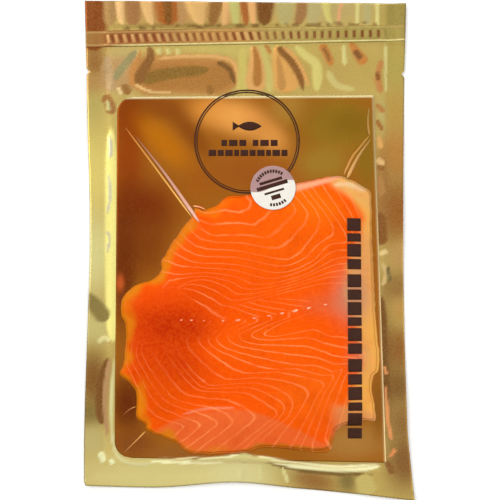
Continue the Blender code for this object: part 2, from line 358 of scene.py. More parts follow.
def zip_relief(x, y):
    """Two rails with a crimped band between, pressed flat across the side seals."""
    across, ends = zip_across(x, y)
    rail_at = (ZIP_WIDTH - ZIP_RAIL) / 2
    off = np.clip(np.abs(np.abs(across) - rail_at) / (ZIP_RAIL / 2), 0, 1)
    rail = 1 - off * off
    crimp = 0.45 + 0.18 * np.cos(2 * math.pi * x / ZIP_PITCH)
    band = crimp * smooth(rail_at - np.abs(across), -0.2, 0.4)
    share = 0.3 + 0.7 * smooth(ends, SIDE_SEAL - 2, SIDE_SEAL + 2)
    return ZIP_HEIGHT * share * np.maximum(rail, band)


# Folds of slack foil and film: (tone, half-width at the start, at the end, height, path).
# Each fold's tone is a painted reflection: pale ones are painted highlights on crests, dark ones painted
# shade in hollows.
HEADER_FOLDS = (
    ("8A4416", 5.5, 5.5, 0.0, ((-79.8, 101), (-80, 132))),
    ("A8804C", 2.6, 3.2, 0.3, ((-71.5, 115), (-71.5, 132))),
    ("E0B478", 0.9, 2.2, 0.3, ((-64.5, 115), (-66, 122), (-66.5, 132))),
    ("A27040", 3.0, 3.8, 0.0, ((-59.5, 115), (-59.5, 132))),
    ("E2B474", 0.8, 3.2, 0.4, ((-49, 115), (-51.5, 122), (-53, 132))),
    ("A65C20", 4.2, 6.4, 0.0, ((-41, 115), (-41.5, 132))),
    ("804C18", 1.4, 2.2, 0.0, ((-40.5, 115), (-42, 132))),
    ("B88A54", 1.5, 2.4, 0.0, ((-33.5, 115), (-34, 132))),
    ("DEB06C", 1.5, 6.0, 1.0, ((-23, 115), (-26, 123), (-26.5, 132))),
    ("94652F", 1.8, 3.2, 0.0, ((-18.4, 115), (-14.5, 132))),
    ("D0A064", 2.2, 1.4, 0.0, ((-12, 115), (-8.5, 132))),
    ("E0AC6C", 0.8, 1.6, 0.2, ((-12, 115), (-10.5, 132))),
    ("C2BA6C", 1.4, 2.6, 0.3, ((-5.5, 115), (-7, 132))),
    ("A8602A", 1.2, 2.0, 0.5, ((0, 115), (-2, 132))),
    ("E6AC6C", 1.0, 2.2, 0.4, ((3.6, 115), (2.4, 132))),
    ("7C4A1C", 2.6, 4.6, 0.0, ((9, 115), (10, 132))),
    ("B8AA6C", 2.5, 4.5, 0.3, ((20, 115), (20, 132))),
    ("A27444", 1.5, 4.0, 0.0, ((26, 115), (29, 123), (31, 132))),
    ("BBAA70", 2.0, 4.0, 0.2, ((34, 115), (36.5, 132))),
    ("D2C470", 0.7, 2.4, 0.8, ((44, 115), (42, 123), (41, 132))),
    ("DFA470", 0.6, 0.9, 0.5, ((47.5, 115), (50, 132))),
    ("D8CC82", 0.7, 1.0, 0.8, ((57.5, 115), (58.5, 132))),
    ("BAAC70", 1.5, 2.0, 0.2, ((63, 115), (63, 132))),
    ("DCD082", 0.7, 1.0, 0.8, ((68.5, 115), (68, 132))),
    ("A2904A", 4.5, 4.5, 0.0, ((79, 112), (79, 132))),
)
NECK_FOLDS = (
    ("B8905C", 7.5, 7.5, 0.0, ((-77, 90), (-66, 90), (-52, 91))),
    ("B87E40", 9.4, 8.4, 0.4, ((-64, 89), (-32, 89.4), (-2, 87.6))),
    ("AC7436", 5.6, 5.6, 0.0, ((-60, 88), (-32, 88), (-6, 87))),
    ("8A6428", 3.0, 2.0, -0.3, ((-56, 86), (-40, 90), (-18, 92))),
    ("9A682E", 1.2, 1.6, 0.0, ((-20, 84), (-18, 79))),
    ("7C5426", 1.2, 1.0, 0.0, ((-16, 96.5), (-9, 92), (-6, 84))),
    ("DDA864", 0.9, 0.9, 0.9, ((-50, 97.6), (-30, 99), (-14, 98.6), (-6.2, 95), (-3.8, 84), (-4, 79))),
    ("8A5A2A", 1.2, 2.8, 0.0, ((-51.2, 105), (-50, 99), (-54.4, 90.4), (-57.4, 83.5))),
    ("C08444", 0.8, 1.2, 0.1, ((-54.4, 104), (-59.6, 89), (-59, 83))),
    ("968A5C", 1.4, 2.0, 0.0, ((-57, 103), (-70, 86))),
    ("B49468", 1.6, 2.2, 0.0, ((-73, 100), (-70.5, 80))),
    ("9A6A34", 1.6, 2.0, 0.0, ((-64, 84.5), (-61, 79))),
    ("E8CC90", 0.7, 0.6, 0.3, ((-67, 83), (-64.8, 78.5))),
    ("E2B878", 0.6, 0.5, 0.6, ((-58.5, 84.5), (-50, 80.4), (-38, 79.8))),
    ("CDC076", 0.9, 1.2, 0.5, ((-46, 104), (-45.2, 99.8))),
    ("CDC076", 0.9, 1.2, 0.5, ((-41, 104), (-40.4, 99.8))),
    ("CDC076", 0.9, 1.2, 0.5, ((-36, 104), (-35.4, 100))),
    ("CDBB64", 1.6, 2.2, 0.2, ((-2, 105), (-2.4, 79))),
    ("DCA460", 1.2, 5.2, 0.9, ((3, 105.5), (5.2, 96.9), (4.5, 79))),
    ("B07434", 0.8, 2.4, 0.0, ((3.6, 105), (5.6, 95), (5.4, 82))),
    ("C8B868", 1.0, 2.0, 0.2, ((6.7, 105.5), (11.3, 92.3), (12.2, 79))),
    ("B87C40", 0.8, 0.9, 0.4, ((9.8, 105.5), (12.8, 100))),
    ("DEA458", 1.6, 7.0, 1.0, ((15, 105.5), (18.6, 94), (22.8, 79))),
    ("C08A48", 0.8, 2.2, 0.0, ((16, 100), (17.6, 90), (18.6, 80))),
    ("8E5C2A", 2.4, 1.0, 0.0, ((15.5, 104.5), (22, 98.4), (27.3, 89.2), (29.8, 80))),
    ("E0A45C", 0.8, 0.7, 0.4, ((17.5, 105), (25, 98.6), (30.4, 89), (32, 82))),
    ("D6C874", 1.4, 2.4, 0.4, ((25, 105.5), (30.4, 99.8), (36.4, 94), (36.4, 79))),
    ("C6803C", 2.0, 1.6, 0.4, ((38.6, 106), (41.7, 100.7), (44.6, 93.4))),
    ("96642E", 0.9, 0.7, 0.0, ((39.4, 104), (41.7, 100.7), (43.4, 96))),
    ("D6CC82", 0.9, 1.0, 0.8, ((50.5, 106), (51.2, 94))),
    ("C6803C", 1.2, 2.8, 0.4, ((53.5, 107.5), (57.7, 100.7), (62, 94.5))),
    ("86562A", 1.3, 1.3, -0.3, ((56, 102.4), (60, 97.4))),
    ("CFBE74", 1.6, 1.2, 0.5, ((41.7, 92), (46.8, 84), (57, 81.4))),
    ("C4854A", 1.2, 1.6, 0.5, ((70.6, 98), (68.3, 88.5), (69.9, 79))),
    ("8E5A28", 0.9, 0.9, -0.2, ((68, 91), (68.6, 86))),
    ("DDD28A", 0.5, 0.5, 0.3, ((72.6, 108), (72.2, 79))),
)
SIDE_FOLDS = (
    ("F8EC8C", 2.7, 2.2, 0.5, ((-70.2, 66), (-70, 20), (-69.4, -30), (-68, -51))),
    ("CFC6A8", 0.8, 0.7, 0.4, ((-71.4, 58), (-70, 50), (-71, 45))),
    ("D4CCA6", 0.7, 0.6, 0.3, ((-71.6, 38), (-70.4, 26), (-72, 16))),
    ("CFC6A0", 0.6, 0.6, 0.3, ((-72.4, 8), (-70.4, 4), (-71.8, -4))),
    ("8E7C44", 2.6, 3.6, 0.0, ((-86, -24), (-78, -30), (-71, -39))),
    ("E8DC98", 1.0, 1.0, 0.9, ((-76, -49.5), (-72.6, -47), (-69.8, -48.8))),
    ("7C4E22", 1.8, 2.0, 0.0, ((-70.5, -56), (-74.5, -75), (-73.5, -92))),
    ("B48A5C", 1.1, 1.0, 0.6, ((-69.4, -56), (-72, -76), (-70.6, -98))),
    ("DCD296", 0.6, 0.7, 0.5, ((-67.8, -52), (-68.6, -84), (-66.6, -104), (-58, -110.5), (-44, -110.2))),
    ("F4F2B8", 1.4, 1.2, 0.8, ((-74.2, -104.5), (-72.2, -110))),
    ("F4F2B8", 1.0, 1.0, 0.6, ((-68.8, -108), (-67.6, -111))),
    ("A06C38", 2.2, 2.2, 0.3, ((-74.6, 79), (-71.2, 74), (-70, 68))),
    ("BEB478", 0.9, 0.9, 0.4, ((-72.6, 76), (-71.2, 70))),
    ("B87C40", 1.0, 1.2, 0.7, ((67.2, 74), (71.4, 69.4))),
    ("A4682E", 0.9, 0.9, 0.5, ((67.4, 65.5), (70.6, 60))),
    ("DFA860", 1.0, 1.3, 0.7, ((68.3, 57), (69.6, 50.5))),
    ("E2B878", 1.4, 1.2, 0.8, ((66.8, 45), (71.4, 42.4))),
    ("96602C", 1.0, 1.0, -0.2, ((67.2, 41.4), (71.6, 39.6))),
    ("B48048", 1.6, 2.2, 0.4, ((68.4, 37), (69.8, 26))),
    ("8A5524", 2.2, 2.8, 0.0, ((68.8, 18), (69.4, 0))),
    ("EACB88", 0.9, 1.1, 1.0, ((67.2, -4.6), (72.6, -2.4))),
    ("D8B878", 0.8, 0.9, 0.7, ((69.5, -8), (71.5, -14), (69.6, -21))),
    ("7A6A40", 0.8, 0.8, 0.0, ((72.6, -10), (73.4, -19))),
    ("7A4E20", 1.9, 2.0, 0.0, ((69.2, -23), (70, -60), (71.4, -80))),
    ("EC9A5E", 0.6, 0.7, 0.8, ((70.2, -61), (71.2, -66))),
    ("EC9A5E", 0.6, 0.9, 0.8, ((70.2, -68.5), (72.2, -92), (73.8, -99))),
    ("E89258", 0.9, 0.7, 0.7, ((75.6, -103), (72.4, -107.5))),
)
# The pale crescents along the card's foot are painted highlights, with painted shade below them.
FOOT_FOLDS = (
    ("FCF8C0", 0.5, 0.9, 0.4, ((-50, -109.4), (-27, -109.8), (-8, -108.6))),
    ("FCF8C0", 0.5, 1.7, 0.5, ((10, -109.6), (27, -111.8), (50, -113), (69.5, -111.4))),
    ("7E6030", 0.5, 0.7, 0.0, ((8, -109), (22, -113), (44, -115.6), (68, -115.6))),
    ("DCD294", 1.2, 1.8, 0.7, ((-1, -106.5), (-2, -114), (-3, -122))),
    ("DDD492", 0.6, 0.9, 0.5, ((6, -110), (7.5, -119))),
    ("E0D690", 0.5, 1.0, 0.4, ((18, -112), (21, -120))),
    ("CDBA6C", 3.0, 4.5, 0.3, ((58, -115.5), (62, -126))),
    ("8A5A2C", 1.2, 1.4, 0.4, ((71, -109), (74, -116))),
)
# Where the film is drawn tight along the foot of the card; their tones are painted highlights.
FILM_FOLDS = (
    ("D6CA86", 0.5, 2.4, 0.3, ((-30, -109), (-12, -107.8), (3, -106.6))),
    ("D6CA86", 2.4, 0.5, 0.3, ((-5, -106.6), (8, -108.4), (26, -110))),
    ("F8F0B8", 0.35, 0.5, 0.2, ((-52, -107.9), (-28, -107.5), (-10, -106.6), (-3, -105.4))),
    ("F8F0B8", 0.4, 1.0, 0.3, ((4, -106.2), (24, -109.6), (46, -111.8), (69, -110.6))),
)
# Sharp creases of the film between the fish and the card's corners, whose tones are painted highlights:
# (tone at the start, at the end, half-width at the start, at the end, path).
CREASES = (
    ("B86A1E", "F2B858", 0.45, 0.55, ((-62.6, 61.2), (-47, 40.3), (-28, 14.6))),
    ("8A5634", "E8B09C", 0.2, 1.15, ((-58, 57.4), (-42, 37.2), (-24.2, 11.8))),
    ("F0A878", "E88850", 0.5, 0.4, ((-27.4, 20.4), (-24.4, 20), (-21, 18.6))),
    ("8E6A20", "B08034", 0.6, 0.7, ((63.4, 71.5), (62.8, 64), (63.4, 57))),
    ("A8782A", "C88A3C", 0.6, 0.7, ((63.4, 57), (58.6, 51), (54.4, 45.6), (50, 36.5))),
    ("9A7228", "D8A05A", 0.5, 1.0, ((64.2, 55.4), (57.4, 45.8), (51.7, 34.8))),
    ("9A5A22", "E8A850", 0.2, 0.35, ((-62.4, -105.2), (-57, -100), (-51, -94))),
    ("8A4A1C", "C88840", 0.2, 0.3, ((-62, -85.4), (-59, -83), (-56, -81.6))),
)


def folds(x, y, group):
    return sum(height * stroke(x, y, start, end, path) for _, start, end, height, path in group if height)


def slack(x, y):
    """Relief that the foil and the film share outside the card."""
    away = smooth(-depth_in(x, y, card_loop), 0.5, 3.5)
    off_zip = smooth(np.abs(zip_across(x, y)[0]), ZIP_WIDTH / 2, ZIP_WIDTH / 2 + 2.5)
    off_seals = np.minimum(from_sides(x, y) - SIDE_SEAL, from_bottom(x, y) - BOTTOM_SEAL)
    seal = 0.25 + 0.75 * smooth(off_seals, -1, 4)
    header = folds(x, y, HEADER_FOLDS + NECK_FOLDS)
    rest = folds(x, y, SIDE_FOLDS + FOOT_FOLDS)
    waves = 0.24 * (1 + noise(x, y, 11, 3)) + 0.07 * (1 + noise(x, y, 4.2, 5))
    return away * off_zip * ((FOLD_HEIGHT * header + waves) * seal + FOLD_HEIGHT * rest)


def curl(x, y):
    """The seals' free edges ripple a little off the table."""
    ripple = 0.6 + 0.5 * np.sin(y / 17.0 + 0.6) * np.sign(x) + 0.1 * np.sin(y / 7.3)
    side = smooth(EDGE_ZONE - from_sides(x, y), 0, EDGE_ZONE) * ripple
    foot = smooth(EDGE_ZONE - from_bottom(x, y), 0, EDGE_ZONE) * (0.8 + 0.6 * np.sin(x / 14 + 2.2))
    return np.maximum(side, foot)


def fish_top(x, y):
    depth = depth_in(x, y, fish_loop)
    body = FISH_TOP - FISH_BASE
    thin = FISH_EDGE * np.sqrt(np.clip(depth / 0.8, 0, 1))
    dome = smooth(depth, -2, FISH_SHOULDER) ** 0.8
    swell = 0.25 * noise(x, y, 22, 11) + 0.06 * noise(x, y, 8, 12)
    return np.where(depth > 0, FISH_BASE + thin + (body - FISH_EDGE - 0.3 + swell) * dome, 0)


def tented(solid, step, slope, reach):
    """The film over what lies under it: it falls away no steeper than slope."""
    film = solid.copy()
    for _ in range(int(reach / step)):
        for axis in (0, 1):
            for shift in (1, -1):
                film = np.maximum(film, np.roll(film, shift, axis) - slope * step)
    return film


def blurred(field, times):
    for _ in range(times):
        for axis in (0, 1):
            field = (np.roll(field, 1, axis) + 2 * field + np.roll(field, -1, axis)) / 4
    return field


class Field:
    """A height map on a square grid, read by bilinear interpolation."""

    STEP = 0.6

    def __init__(self):
        reach_x, reach_y = pack_side + 3, pack_top + 3
        self.x0, self.y0 = -reach_x, -reach_y
        count_x = int(2 * reach_x / self.STEP) + 1
        count_y = int(2 * reach_y / self.STEP) + 1
        xs = self.x0 + self.STEP * np.arange(count_x)
        ys = self.y0 + self.STEP * np.arange(count_y)
        self.x, self.y = np.meshgrid(xs, ys, indexing="ij")
        self.z = np.zeros(self.x.shape)

    def at(self, x, y):
        gx = np.clip((x - self.x0) / self.STEP, 0, self.z.shape[0] - 1.001)
        gy = np.clip((y - self.y0) / self.STEP, 0, self.z.shape[1] - 1.001)
        ix, iy = gx.astype(int), gy.astype(int)
        fx, fy = gx - ix, gy - iy
        low = self.z[ix, iy] * (1 - fx) + self.z[ix + 1, iy] * fx
        high = self.z[ix, iy + 1] * (1 - fx) + self.z[ix + 1, iy + 1] * fx
        return low * (1 - fy) + high * fy


def make_fields():
    """The foil's height map and the film's."""
    foil, film = Field(), Field()
    x, y = foil.x, foil.y
    foil.z = FOIL_Z + slack(x, y) + curl(x, y)
    card = np.where(depth_in(x, y, card_loop) > 0, CARD_BASE + CARD_THICK, 0)
    solid = np.maximum(card, fish_top(x, y))
    tent = blurred(tented(solid, Field.STEP, FILM_SLOPE, FILM_REACH), 2)
    tent = blurred(np.maximum(tent, solid), 1)
    film.z = np.maximum(tent + folds(x, y, FILM_FOLDS), foil.z) + FILM_GAP
    film.z += zip_relief(x, y) * smooth(np.abs(zip_across(x, y)[0]), ZIP_WIDTH, ZIP_WIDTH / 2 - 0.5)
    return foil, film


# --- Meshes ---
def mesh_object(name, vertices, faces, look, slot_name):
    """A smooth mesh object from millimetre vertices, riding on the pack's one body."""
    mesh = bpy.data.meshes.new(name)
    mesh.from_pydata((np.asarray(vertices) * MM).tolist(), [], faces)
    mesh.validate()
    mesh.update()
    mesh.shade_smooth()
    mesh.materials.append(look)
    obj = bpy.data.objects.new(name, mesh)
    bpy.context.scene.collection.objects.link(obj)
    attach(obj, "root")
    return obj


def grid_object(name, x, y, z, columns, rows, look, slot_name):
    """A mesh object from points that run up each column of a grid in turn."""
    return mesh_object(name, np.stack([x, y, z], 1), grid_faces(columns, rows), look, slot_name)


def grid_faces(columns, rows):
    """Quads of a grid whose vertices run up each column in turn."""
    tall = rows + 1
    start = (np.arange(columns)[:, None] * tall + np.arange(rows)[None, :]).ravel()
    return np.stack([start, start + tall, start + tall + 1, start + 1], axis=1).tolist()


def grid_uv(columns, rows):
    u, v = np.meshgrid(np.linspace(0, 1, columns + 1), np.linspace(0, 1, rows + 1), indexing="ij")
    return u.ravel(), v.ravel()


def set_values(obj, name, values):
    attribute = obj.data.attributes.new(name, "FLOAT", "POINT")
    attribute.data.foreach_set("value", np.asarray(values, np.float32))


def set_colours(obj, name, rgb):
    attribute = obj.data.attributes.new(name, "FLOAT_COLOR", "POINT")
    rgba = np.concatenate([rgb, np.ones((len(rgb), 1))], axis=1)
    attribute.data.foreach_set("color", rgba.astype(np.float32).ravel())


def thicken(obj, thickness):
    """Gives a sheet its thickness, downwards."""
    modifier = obj.modifiers.new("thickness", "SOLIDIFY")
    modifier.thickness = thickness * MM
    modifier.offset = -1.0
    return obj


def blend(rgb, code, share):
    share = np.clip(share, 0, 1)[:, None]
    return rgb * (1 - share) + colour(code) * share


def painted(x, y, base, patches, group=()):
    """Linear RGB that starts from base and takes on each soft patch and each fold in turn."""
    rgb = np.tile(colour(base), (len(x), 1))
    for code, *shape in patches:
        rgb = blend(rgb, code, blob(x, y, *shape))
    for code, start, end, _, path in group:
        rgb = blend(rgb, code, smooth(stroke(x, y, 1.3 * start, 1.3 * end, path), 0.12, 0.8))
    return rgb


# --- Materials ---
class Look:
    """A Principled material with a few helpers for wiring its nodes."""

    def __init__(self, name, **values):
        self.material = bpy.data.materials.new(name)
        self.material.use_nodes = True
        self.tree = self.material.node_tree
        self.shader = self.tree.nodes["Principled BSDF"]
        for socket, value in values.items():
            self.shader.inputs[socket.replace("_", " ")].default_value = value

    def add(self, kind, **settings):
        node = self.tree.nodes.new("ShaderNode" + kind)
        for key, value in settings.items():
            setattr(node, key, value)
        return node

    def link(self, output, socket):
        self.tree.links.new(output, socket)

    def feed(self, socket, value):
        if isinstance(value, bpy.types.NodeSocket):
            self.link(value, socket)
        else:
            socket.default_value = value

    def math(self, operation, a, b=0.0, c=0.0, clamp=False):
        node = self.add("Math", operation=operation, use_clamp=clamp)
        for socket, value in zip(node.inputs, (a, b, c)):
            self.feed(socket, value)
        return node.outputs[0]

    def remap(self, value, low, high, out_low=0.0, out_high=1.0):
        node = self.add("MapRange", interpolation_type="SMOOTHSTEP")
        for socket, given in zip(node.inputs, (value, low, high, out_low, out_high)):
            self.feed(socket, given)
        return node.outputs["Result"]

    def choose(self, share, a, b):
        """The number a where share is 0, and b where it is 1."""
        node = self.add("Mix", data_type="FLOAT")
        for index, value in ((0, share), (2, a), (3, b)):
            self.feed(node.inputs[index], value)
        return node.outputs[0]

    def mix(self, share, a, b):
        """The colour a where share is 0, and b where it is 1."""
        node = self.add("Mix", data_type="RGBA")
        self.feed(node.inputs["Factor"], share)
        for key, value in (("A", a), ("B", b)):
            socket = next(s for s in node.inputs if s.name == key and s.type == "RGBA")
            self.feed(socket, value if isinstance(value, bpy.types.NodeSocket) else (*value, 1.0))
        return next(s for s in node.outputs if s.type == "RGBA")

    def mix_shader(self, share, first, second):
        node = self.add("MixShader")
        for socket, value in zip(node.inputs, (share, first.outputs[0], second.outputs[0])):
            self.link(value, socket)
        return node

    def attribute(self, name, output="Fac"):
        return self.add("Attribute", attribute_name=name).outputs[output]

    def tone(self, name="tone"):
        return self.attribute(name, "Color")

    def coordinates(self):
        return self.add("TexCoord").outputs["Object"]

    def noise(self, scale, detail=3.0, roughness=0.5):
        """Noise with features about 1/scale metres across."""
        node = self.add("TexNoise")
        for key, value in (("Scale", scale), ("Detail", detail), ("Roughness", roughness)):
            node.inputs[key].default_value = value
        self.link(self.coordinates(), node.inputs["Vector"])
        return node.outputs["Fac"]

    def relief(self, height, strength, distance):
        """A normal that is tilted by a height map."""
        node = self.add("Bump")
        node.inputs["Strength"].default_value = strength
        node.inputs["Distance"].default_value = distance * MM
        self.link(height, node.inputs["Height"])
        return node.outputs["Normal"]

    def complete(self, tone, rough, height, strength, distance):
        """Wires the tone, the roughness and a bump into the shader, and gives the material."""
        self.feed(self.shader.inputs["Base Color"], tone)
        self.feed(self.shader.inputs["Roughness"], rough)
        self.link(self.relief(height, strength, distance), self.shader.inputs["Normal"])
        return self.material


def grained_look(name, scale, detail, base, speck, specks, rough, strength, distance, **values):
    """A material whose tone, roughness and relief follow one fine grain; base None is the mesh's tone."""
    look = Look(name, **values)
    grain = look.noise(scale, detail)
    plain = look.tone() if base is None else colour(base)
    tone = look.mix(look.remap(grain, *specks), plain, colour(speck))
    return look.complete(tone, look.remap(grain, 0.3, 0.7, *rough), grain, strength, distance)


def knurl(look, pitch):
    """The seal bars' fine diagonal weave, as a height between 0 and 1."""
    split = look.add("SeparateXYZ")
    look.link(look.coordinates(), split.inputs[0])
    turns = 2 * math.pi / (pitch * MM)
    plus = look.math("ADD", split.outputs["X"], split.outputs["Y"])
    minus = look.math("SUBTRACT", split.outputs["X"], split.outputs["Y"])
    first = look.math("SINE", look.math("MULTIPLY", plus, turns))
    second = look.math("SINE", look.math("MULTIPLY", minus, turns))
    return look.math("MULTIPLY_ADD", look.math("MULTIPLY", first, second), 0.5, 0.5)


def foil_look():
    look = Look("gold_foil", Metallic=0.88, Specular_IOR_Level=0.1)
    grain = look.noise(1300)
    weave = look.math("MULTIPLY", knurl(look, 1.1), look.attribute("seal"))
    worn = look.mix(look.remap(grain, 0.35, 0.7, 0.0, 0.06), look.tone(), colour("F4E6A8"))
    tone = look.mix(look.math("MULTIPLY", weave, 0.22), worn, colour("6E4E1C"))
    height = look.math("MULTIPLY_ADD", grain, 0.04, weave)
    return look.complete(tone, look.remap(grain, 0.3, 0.7, 0.26, 0.34), height, 0.2, 0.06)


def card_look():
    look = Look("gold_card", Metallic=0.88, Specular_IOR_Level=0.1)
    grain = look.noise(1900, 4, 0.65)
    cloud = look.noise(45, 2)
    cloudy = look.mix(look.remap(cloud, 0.35, 0.7, 0.0, 0.12), look.tone(), colour("7A3C0C"))
    tone = look.mix(look.remap(grain, 0.4, 0.75, 0.0, 0.14), cloudy, colour("D98A34"))
    return look.complete(tone, look.remap(cloud, 0.3, 0.7, 0.26, 0.36), grain, 0.12, 0.04)


def band_lines(look, name):
    """1 on each line of fat: where the band number is whole."""
    wander = look.math("MULTIPLY_ADD", look.noise(260, 2), 0.24, -0.12)
    part = look.math("FRACT", look.math("ADD", look.attribute(name), wander))
    away = look.math("ABSOLUTE", look.math("SUBTRACT", part, 0.5))
    return look.remap(away, 0.5 - FAT_LINE_WIDTH, 0.5)


def salmon_look():
    look = Look("salmon_flesh", Subsurface_Weight=0.08, Subsurface_Scale=0.0015, Specular_IOR_Level=0.02)
    look.shader.inputs["Subsurface Radius"].default_value = (1.0, 0.35, 0.12)
    lines = band_lines(look, "upper_band")
    for edge, name in (("below_wedge_top", "wedge_band"), ("below_line", "lower_band")):
        lines = look.choose(look.remap(look.attribute(edge), -0.15, 0.15), lines, band_lines(look, name))
    patchy = look.remap(look.noise(120, 4, 0.6), 0.3, 0.6, 0.3, 1.0)
    fat = look.math("MULTIPLY", look.math("MULTIPLY", lines, patchy), look.attribute("fat"))
    fibre = look.noise(700, 4, 0.6)
    clouds = look.remap(look.noise(70, 5, 0.6), 0.45, 0.75, 0.0, 0.35)
    cloudy = look.mix(clouds, look.tone(), colour("D04000"))
    mottled = look.mix(look.remap(fibre, 0.35, 0.7, 0.0, 0.14), cloudy, colour("FF8A20"))
    tone = look.mix(fat, mottled, look.tone("fat_tone"))
    height = look.math("MULTIPLY_ADD", fibre, 0.35, fat)
    return look.complete(tone, look.remap(fibre, 0.3, 0.7, 0.40, 0.55), height, 0.3, 0.10)


def film_look():
    """Clear film: see-through, with gloss, and a pale diffuse coat where it is drawn tight, as painted
    highlights.
    """
    look = Look("clear_film")
    look.tree.nodes.remove(look.shader)
    clear = look.add("BsdfTransparent")
    gloss = look.add("BsdfGlossy")
    gloss.inputs["Roughness"].default_value = 0.10
    # A pale diffuse coat where the attribute "cloud" is set: painted highlights on the film.
    cloud = look.add("BsdfDiffuse")
    look.link(look.tone("film_highlight_tone"), cloud.inputs["Color"])
    fresnel = look.add("Fresnel")
    fresnel.inputs["IOR"].default_value = 1.45
    normal = look.relief(look.noise(300, 2), 0.15, 0.04)
    for node in (gloss, fresnel):
        look.link(normal, node.inputs["Normal"])
    # The gloss is weaker than bare Fresnel, or it would veil the fish in low views.
    shine = look.math("MULTIPLY", look.math("SUBTRACT", fresnel.outputs[0], 0.032, clamp=True), 0.7)
    coated = look.mix_shader(look.math("MINIMUM", shine, 0.22), clear, gloss)
    highlighted = look.mix_shader(look.attribute("cloud"), coated, cloud)
    look.link(highlighted.outputs[0], look.tree.nodes["Material Output"].inputs["Surface"])
    return look.material


def crease_highlight_look():
    return grained_look(
        "crease_highlights", 900, 3, None, "A8703C", (0.4, 0.7, 0.0, 0.3), (0.2, 0.34), 0.15, 0.03,
        Specular_IOR_Level=0.3,
    )


def zip_look():
    return grained_look(
        "zip_plastic", 500, 3, None, "7A4A1C", (0.3, 0.7, 0.0, 0.2), (0.24, 0.36), 0.2, 0.05,
        Metallic=0.6,
    )


def ink_look():
    return grained_look(
        "print_ink", 1500, 2, INK, "40200E", (0.3, 0.7), (0.38, 0.52), 0.2, 0.02,
        Specular_IOR_Level=0.15,
    )


def label_look():
    look = Look("label_paper", Coat_Weight=0.3)
    grain = look.noise(1200, 4)
    plain = look.mix(look.remap(grain, 0.3, 0.7, 0.0, 0.3), colour("DCD8CE"), colour("C2BCB0"))
    tinted = look.mix(look.remap(grain, 0.3, 0.7, 0.0, 0.4), colour("9C7674"), colour("B4908C"))
    tone = look.mix(look.remap(look.attribute("upper"), -0.25, 0.25), plain, tinted)
    return look.complete(tone, look.remap(grain, 0.3, 0.7, 0.3, 0.45), grain, 0.2, 0.03)


def fleck_look():
    return grained_look(
        "fat_fleck", 900, 3, "FFC49A", "F0845A", (0.3, 0.7), (0.3, 0.45), 0.3, 0.05,
        Subsurface_Weight=0.2, Subsurface_Scale=0.001,
    )


# --- Tones of each surface, as soft patches: (colour, x, y, rx, ry, turn = 0, strength = 1); on the foil and the card they are mostly painted reflections ---
# Painted reflections on the foil: its browns, olives and pale streaks.
FOIL_PAINTED_REFLECTIONS = (
    ("BCA054", 34, 92, 50, 14, 0, 0.9),
    ("C8B664", -6, 103, 36, 5, 0, 0.8),
    ("BC8C50", -34, 125, 46, 10),
    ("BCA668", 44, 125, 26, 9, 0, 0.9),
    ("7E6228", -30, 115.4, 46, 1.6, 0, 0.6),
    ("B6A066", -66, 93, 12, 14, 0, 0.8),
    ("8A4A18", -81, 122, 8, 10),
    ("9A5420", -80, 108, 7, 7),
    ("A06E38", -79, 96, 6, 9),
    ("BA8C52", -80, 84, 8, 6, 0, 0.9),
    ("C0AE62", -79, 70, 8, 10),
    ("E2CE72", -78, 40, 9, 24),
    ("DED48C", -78, -4, 9, 22),
    ("D0C47C", -78, -43, 8, 9),
    ("845626", -78, -68, 8, 16),
    ("7A6430", -80, -86, 8, 7, 0, 0.8),
    ("C6B676", -79, -99, 8, 8, 0, 0.9),
    ("DCCE86", -44, -117, 50, 13),
    ("E2D898", -4, -116, 18, 12, 0, 0.9),
    ("C6BA72", 22, -112, 12, 6, 0, 0.8),
    ("A89446", 79, 118, 8, 16),
    ("B9A654", 78, 92, 8, 12),
    ("C09C4C", 78, 70, 10, 12),
    ("BC843E", 78, 48, 11, 14),
    ("985C26", 77, 18, 11, 20),
    ("C09658", 80, -5, 7, 8, -20),
    ("9C743C", 78, -21, 10, 9),
    ("C0924C", 80, -33, 7, 6, 0, 0.9),
    ("94602A", 77, -53, 11, 13),
    ("825A2A", 77, -72, 11, 11),
    ("966C38", 80, -89, 10, 11),
    ("885C2E", 80, -109, 10, 15),
    ("BCAE6A", 70, 68, 2.5, 10, 0, 0.8),
    ("A06C36", 70, 30, 4, 22, 0, 0.8),
    ("8A602E", 71, -62, 4, 40, 0, 0.7),
    ("94602C", 34, -119, 13, 6, -14, 0.9),
    ("766434", 51, -119, 5, 6, 10, 0.85),
)
# Painted reflections on the card, and one real orange-red smear of oil at its left edge (D8602A).
CARD_REFLECTIONS_AND_SMEAR = (
    ("7E3206", -60, 70, 10, 16),
    ("8F4A12", -45, 72, 15, 7, -15, 0.9),
    ("963C06", -61, 44, 9, 28, 0, 0.9),
    ("7A2C08", -54, 19, 20, 16),
    ("7E3A0C", -52, 0, 13, 17, 0, 0.9),
    ("C4720C", -42, 53, 19, 7, -44),
    ("8C4A12", -29, 59, 17, 5, -52, 0.9),
    ("A85C12", -24, 32, 10, 9, 0, 0.9),
    ("A4581A", 0, 38, 24, 10, 0, 0.9),
    ("E8983E", -17, 69, 13, 8, -20),
    ("F6AA52", -3, 66, 15, 9, -20),
    ("EA9E4A", 12, 57, 12, 7, -38, 0.9),
    ("B88838", 22, 72, 10, 9, 0, 0.9),
    ("98761E", 46, 63, 20, 15),
    ("866616", 54, 64, 10, 8, 0, 0.8),
    ("A8862E", 40, 43, 14, 9, 0, 0.8),
    ("8E6E1C", 62, 44, 6, 16, 0, 0.8),
    ("6E2C0A", -63, -10, 8, 34),
    ("D8602A", -64.5, -19, 2.0, 4.5, 0, 0.8),
    ("6A2A0A", -60, -80, 10, 16),
    ("86481C", -57, -101, 12, 7, 0, 0.9),
    ("9C6028", -36, -105, 16, 4, 0, 0.9),
    ("B27E3A", 54, -99, 18, 9),
    ("8E5A1E", 67, -82, 4, 16, 0, 0.9),
)


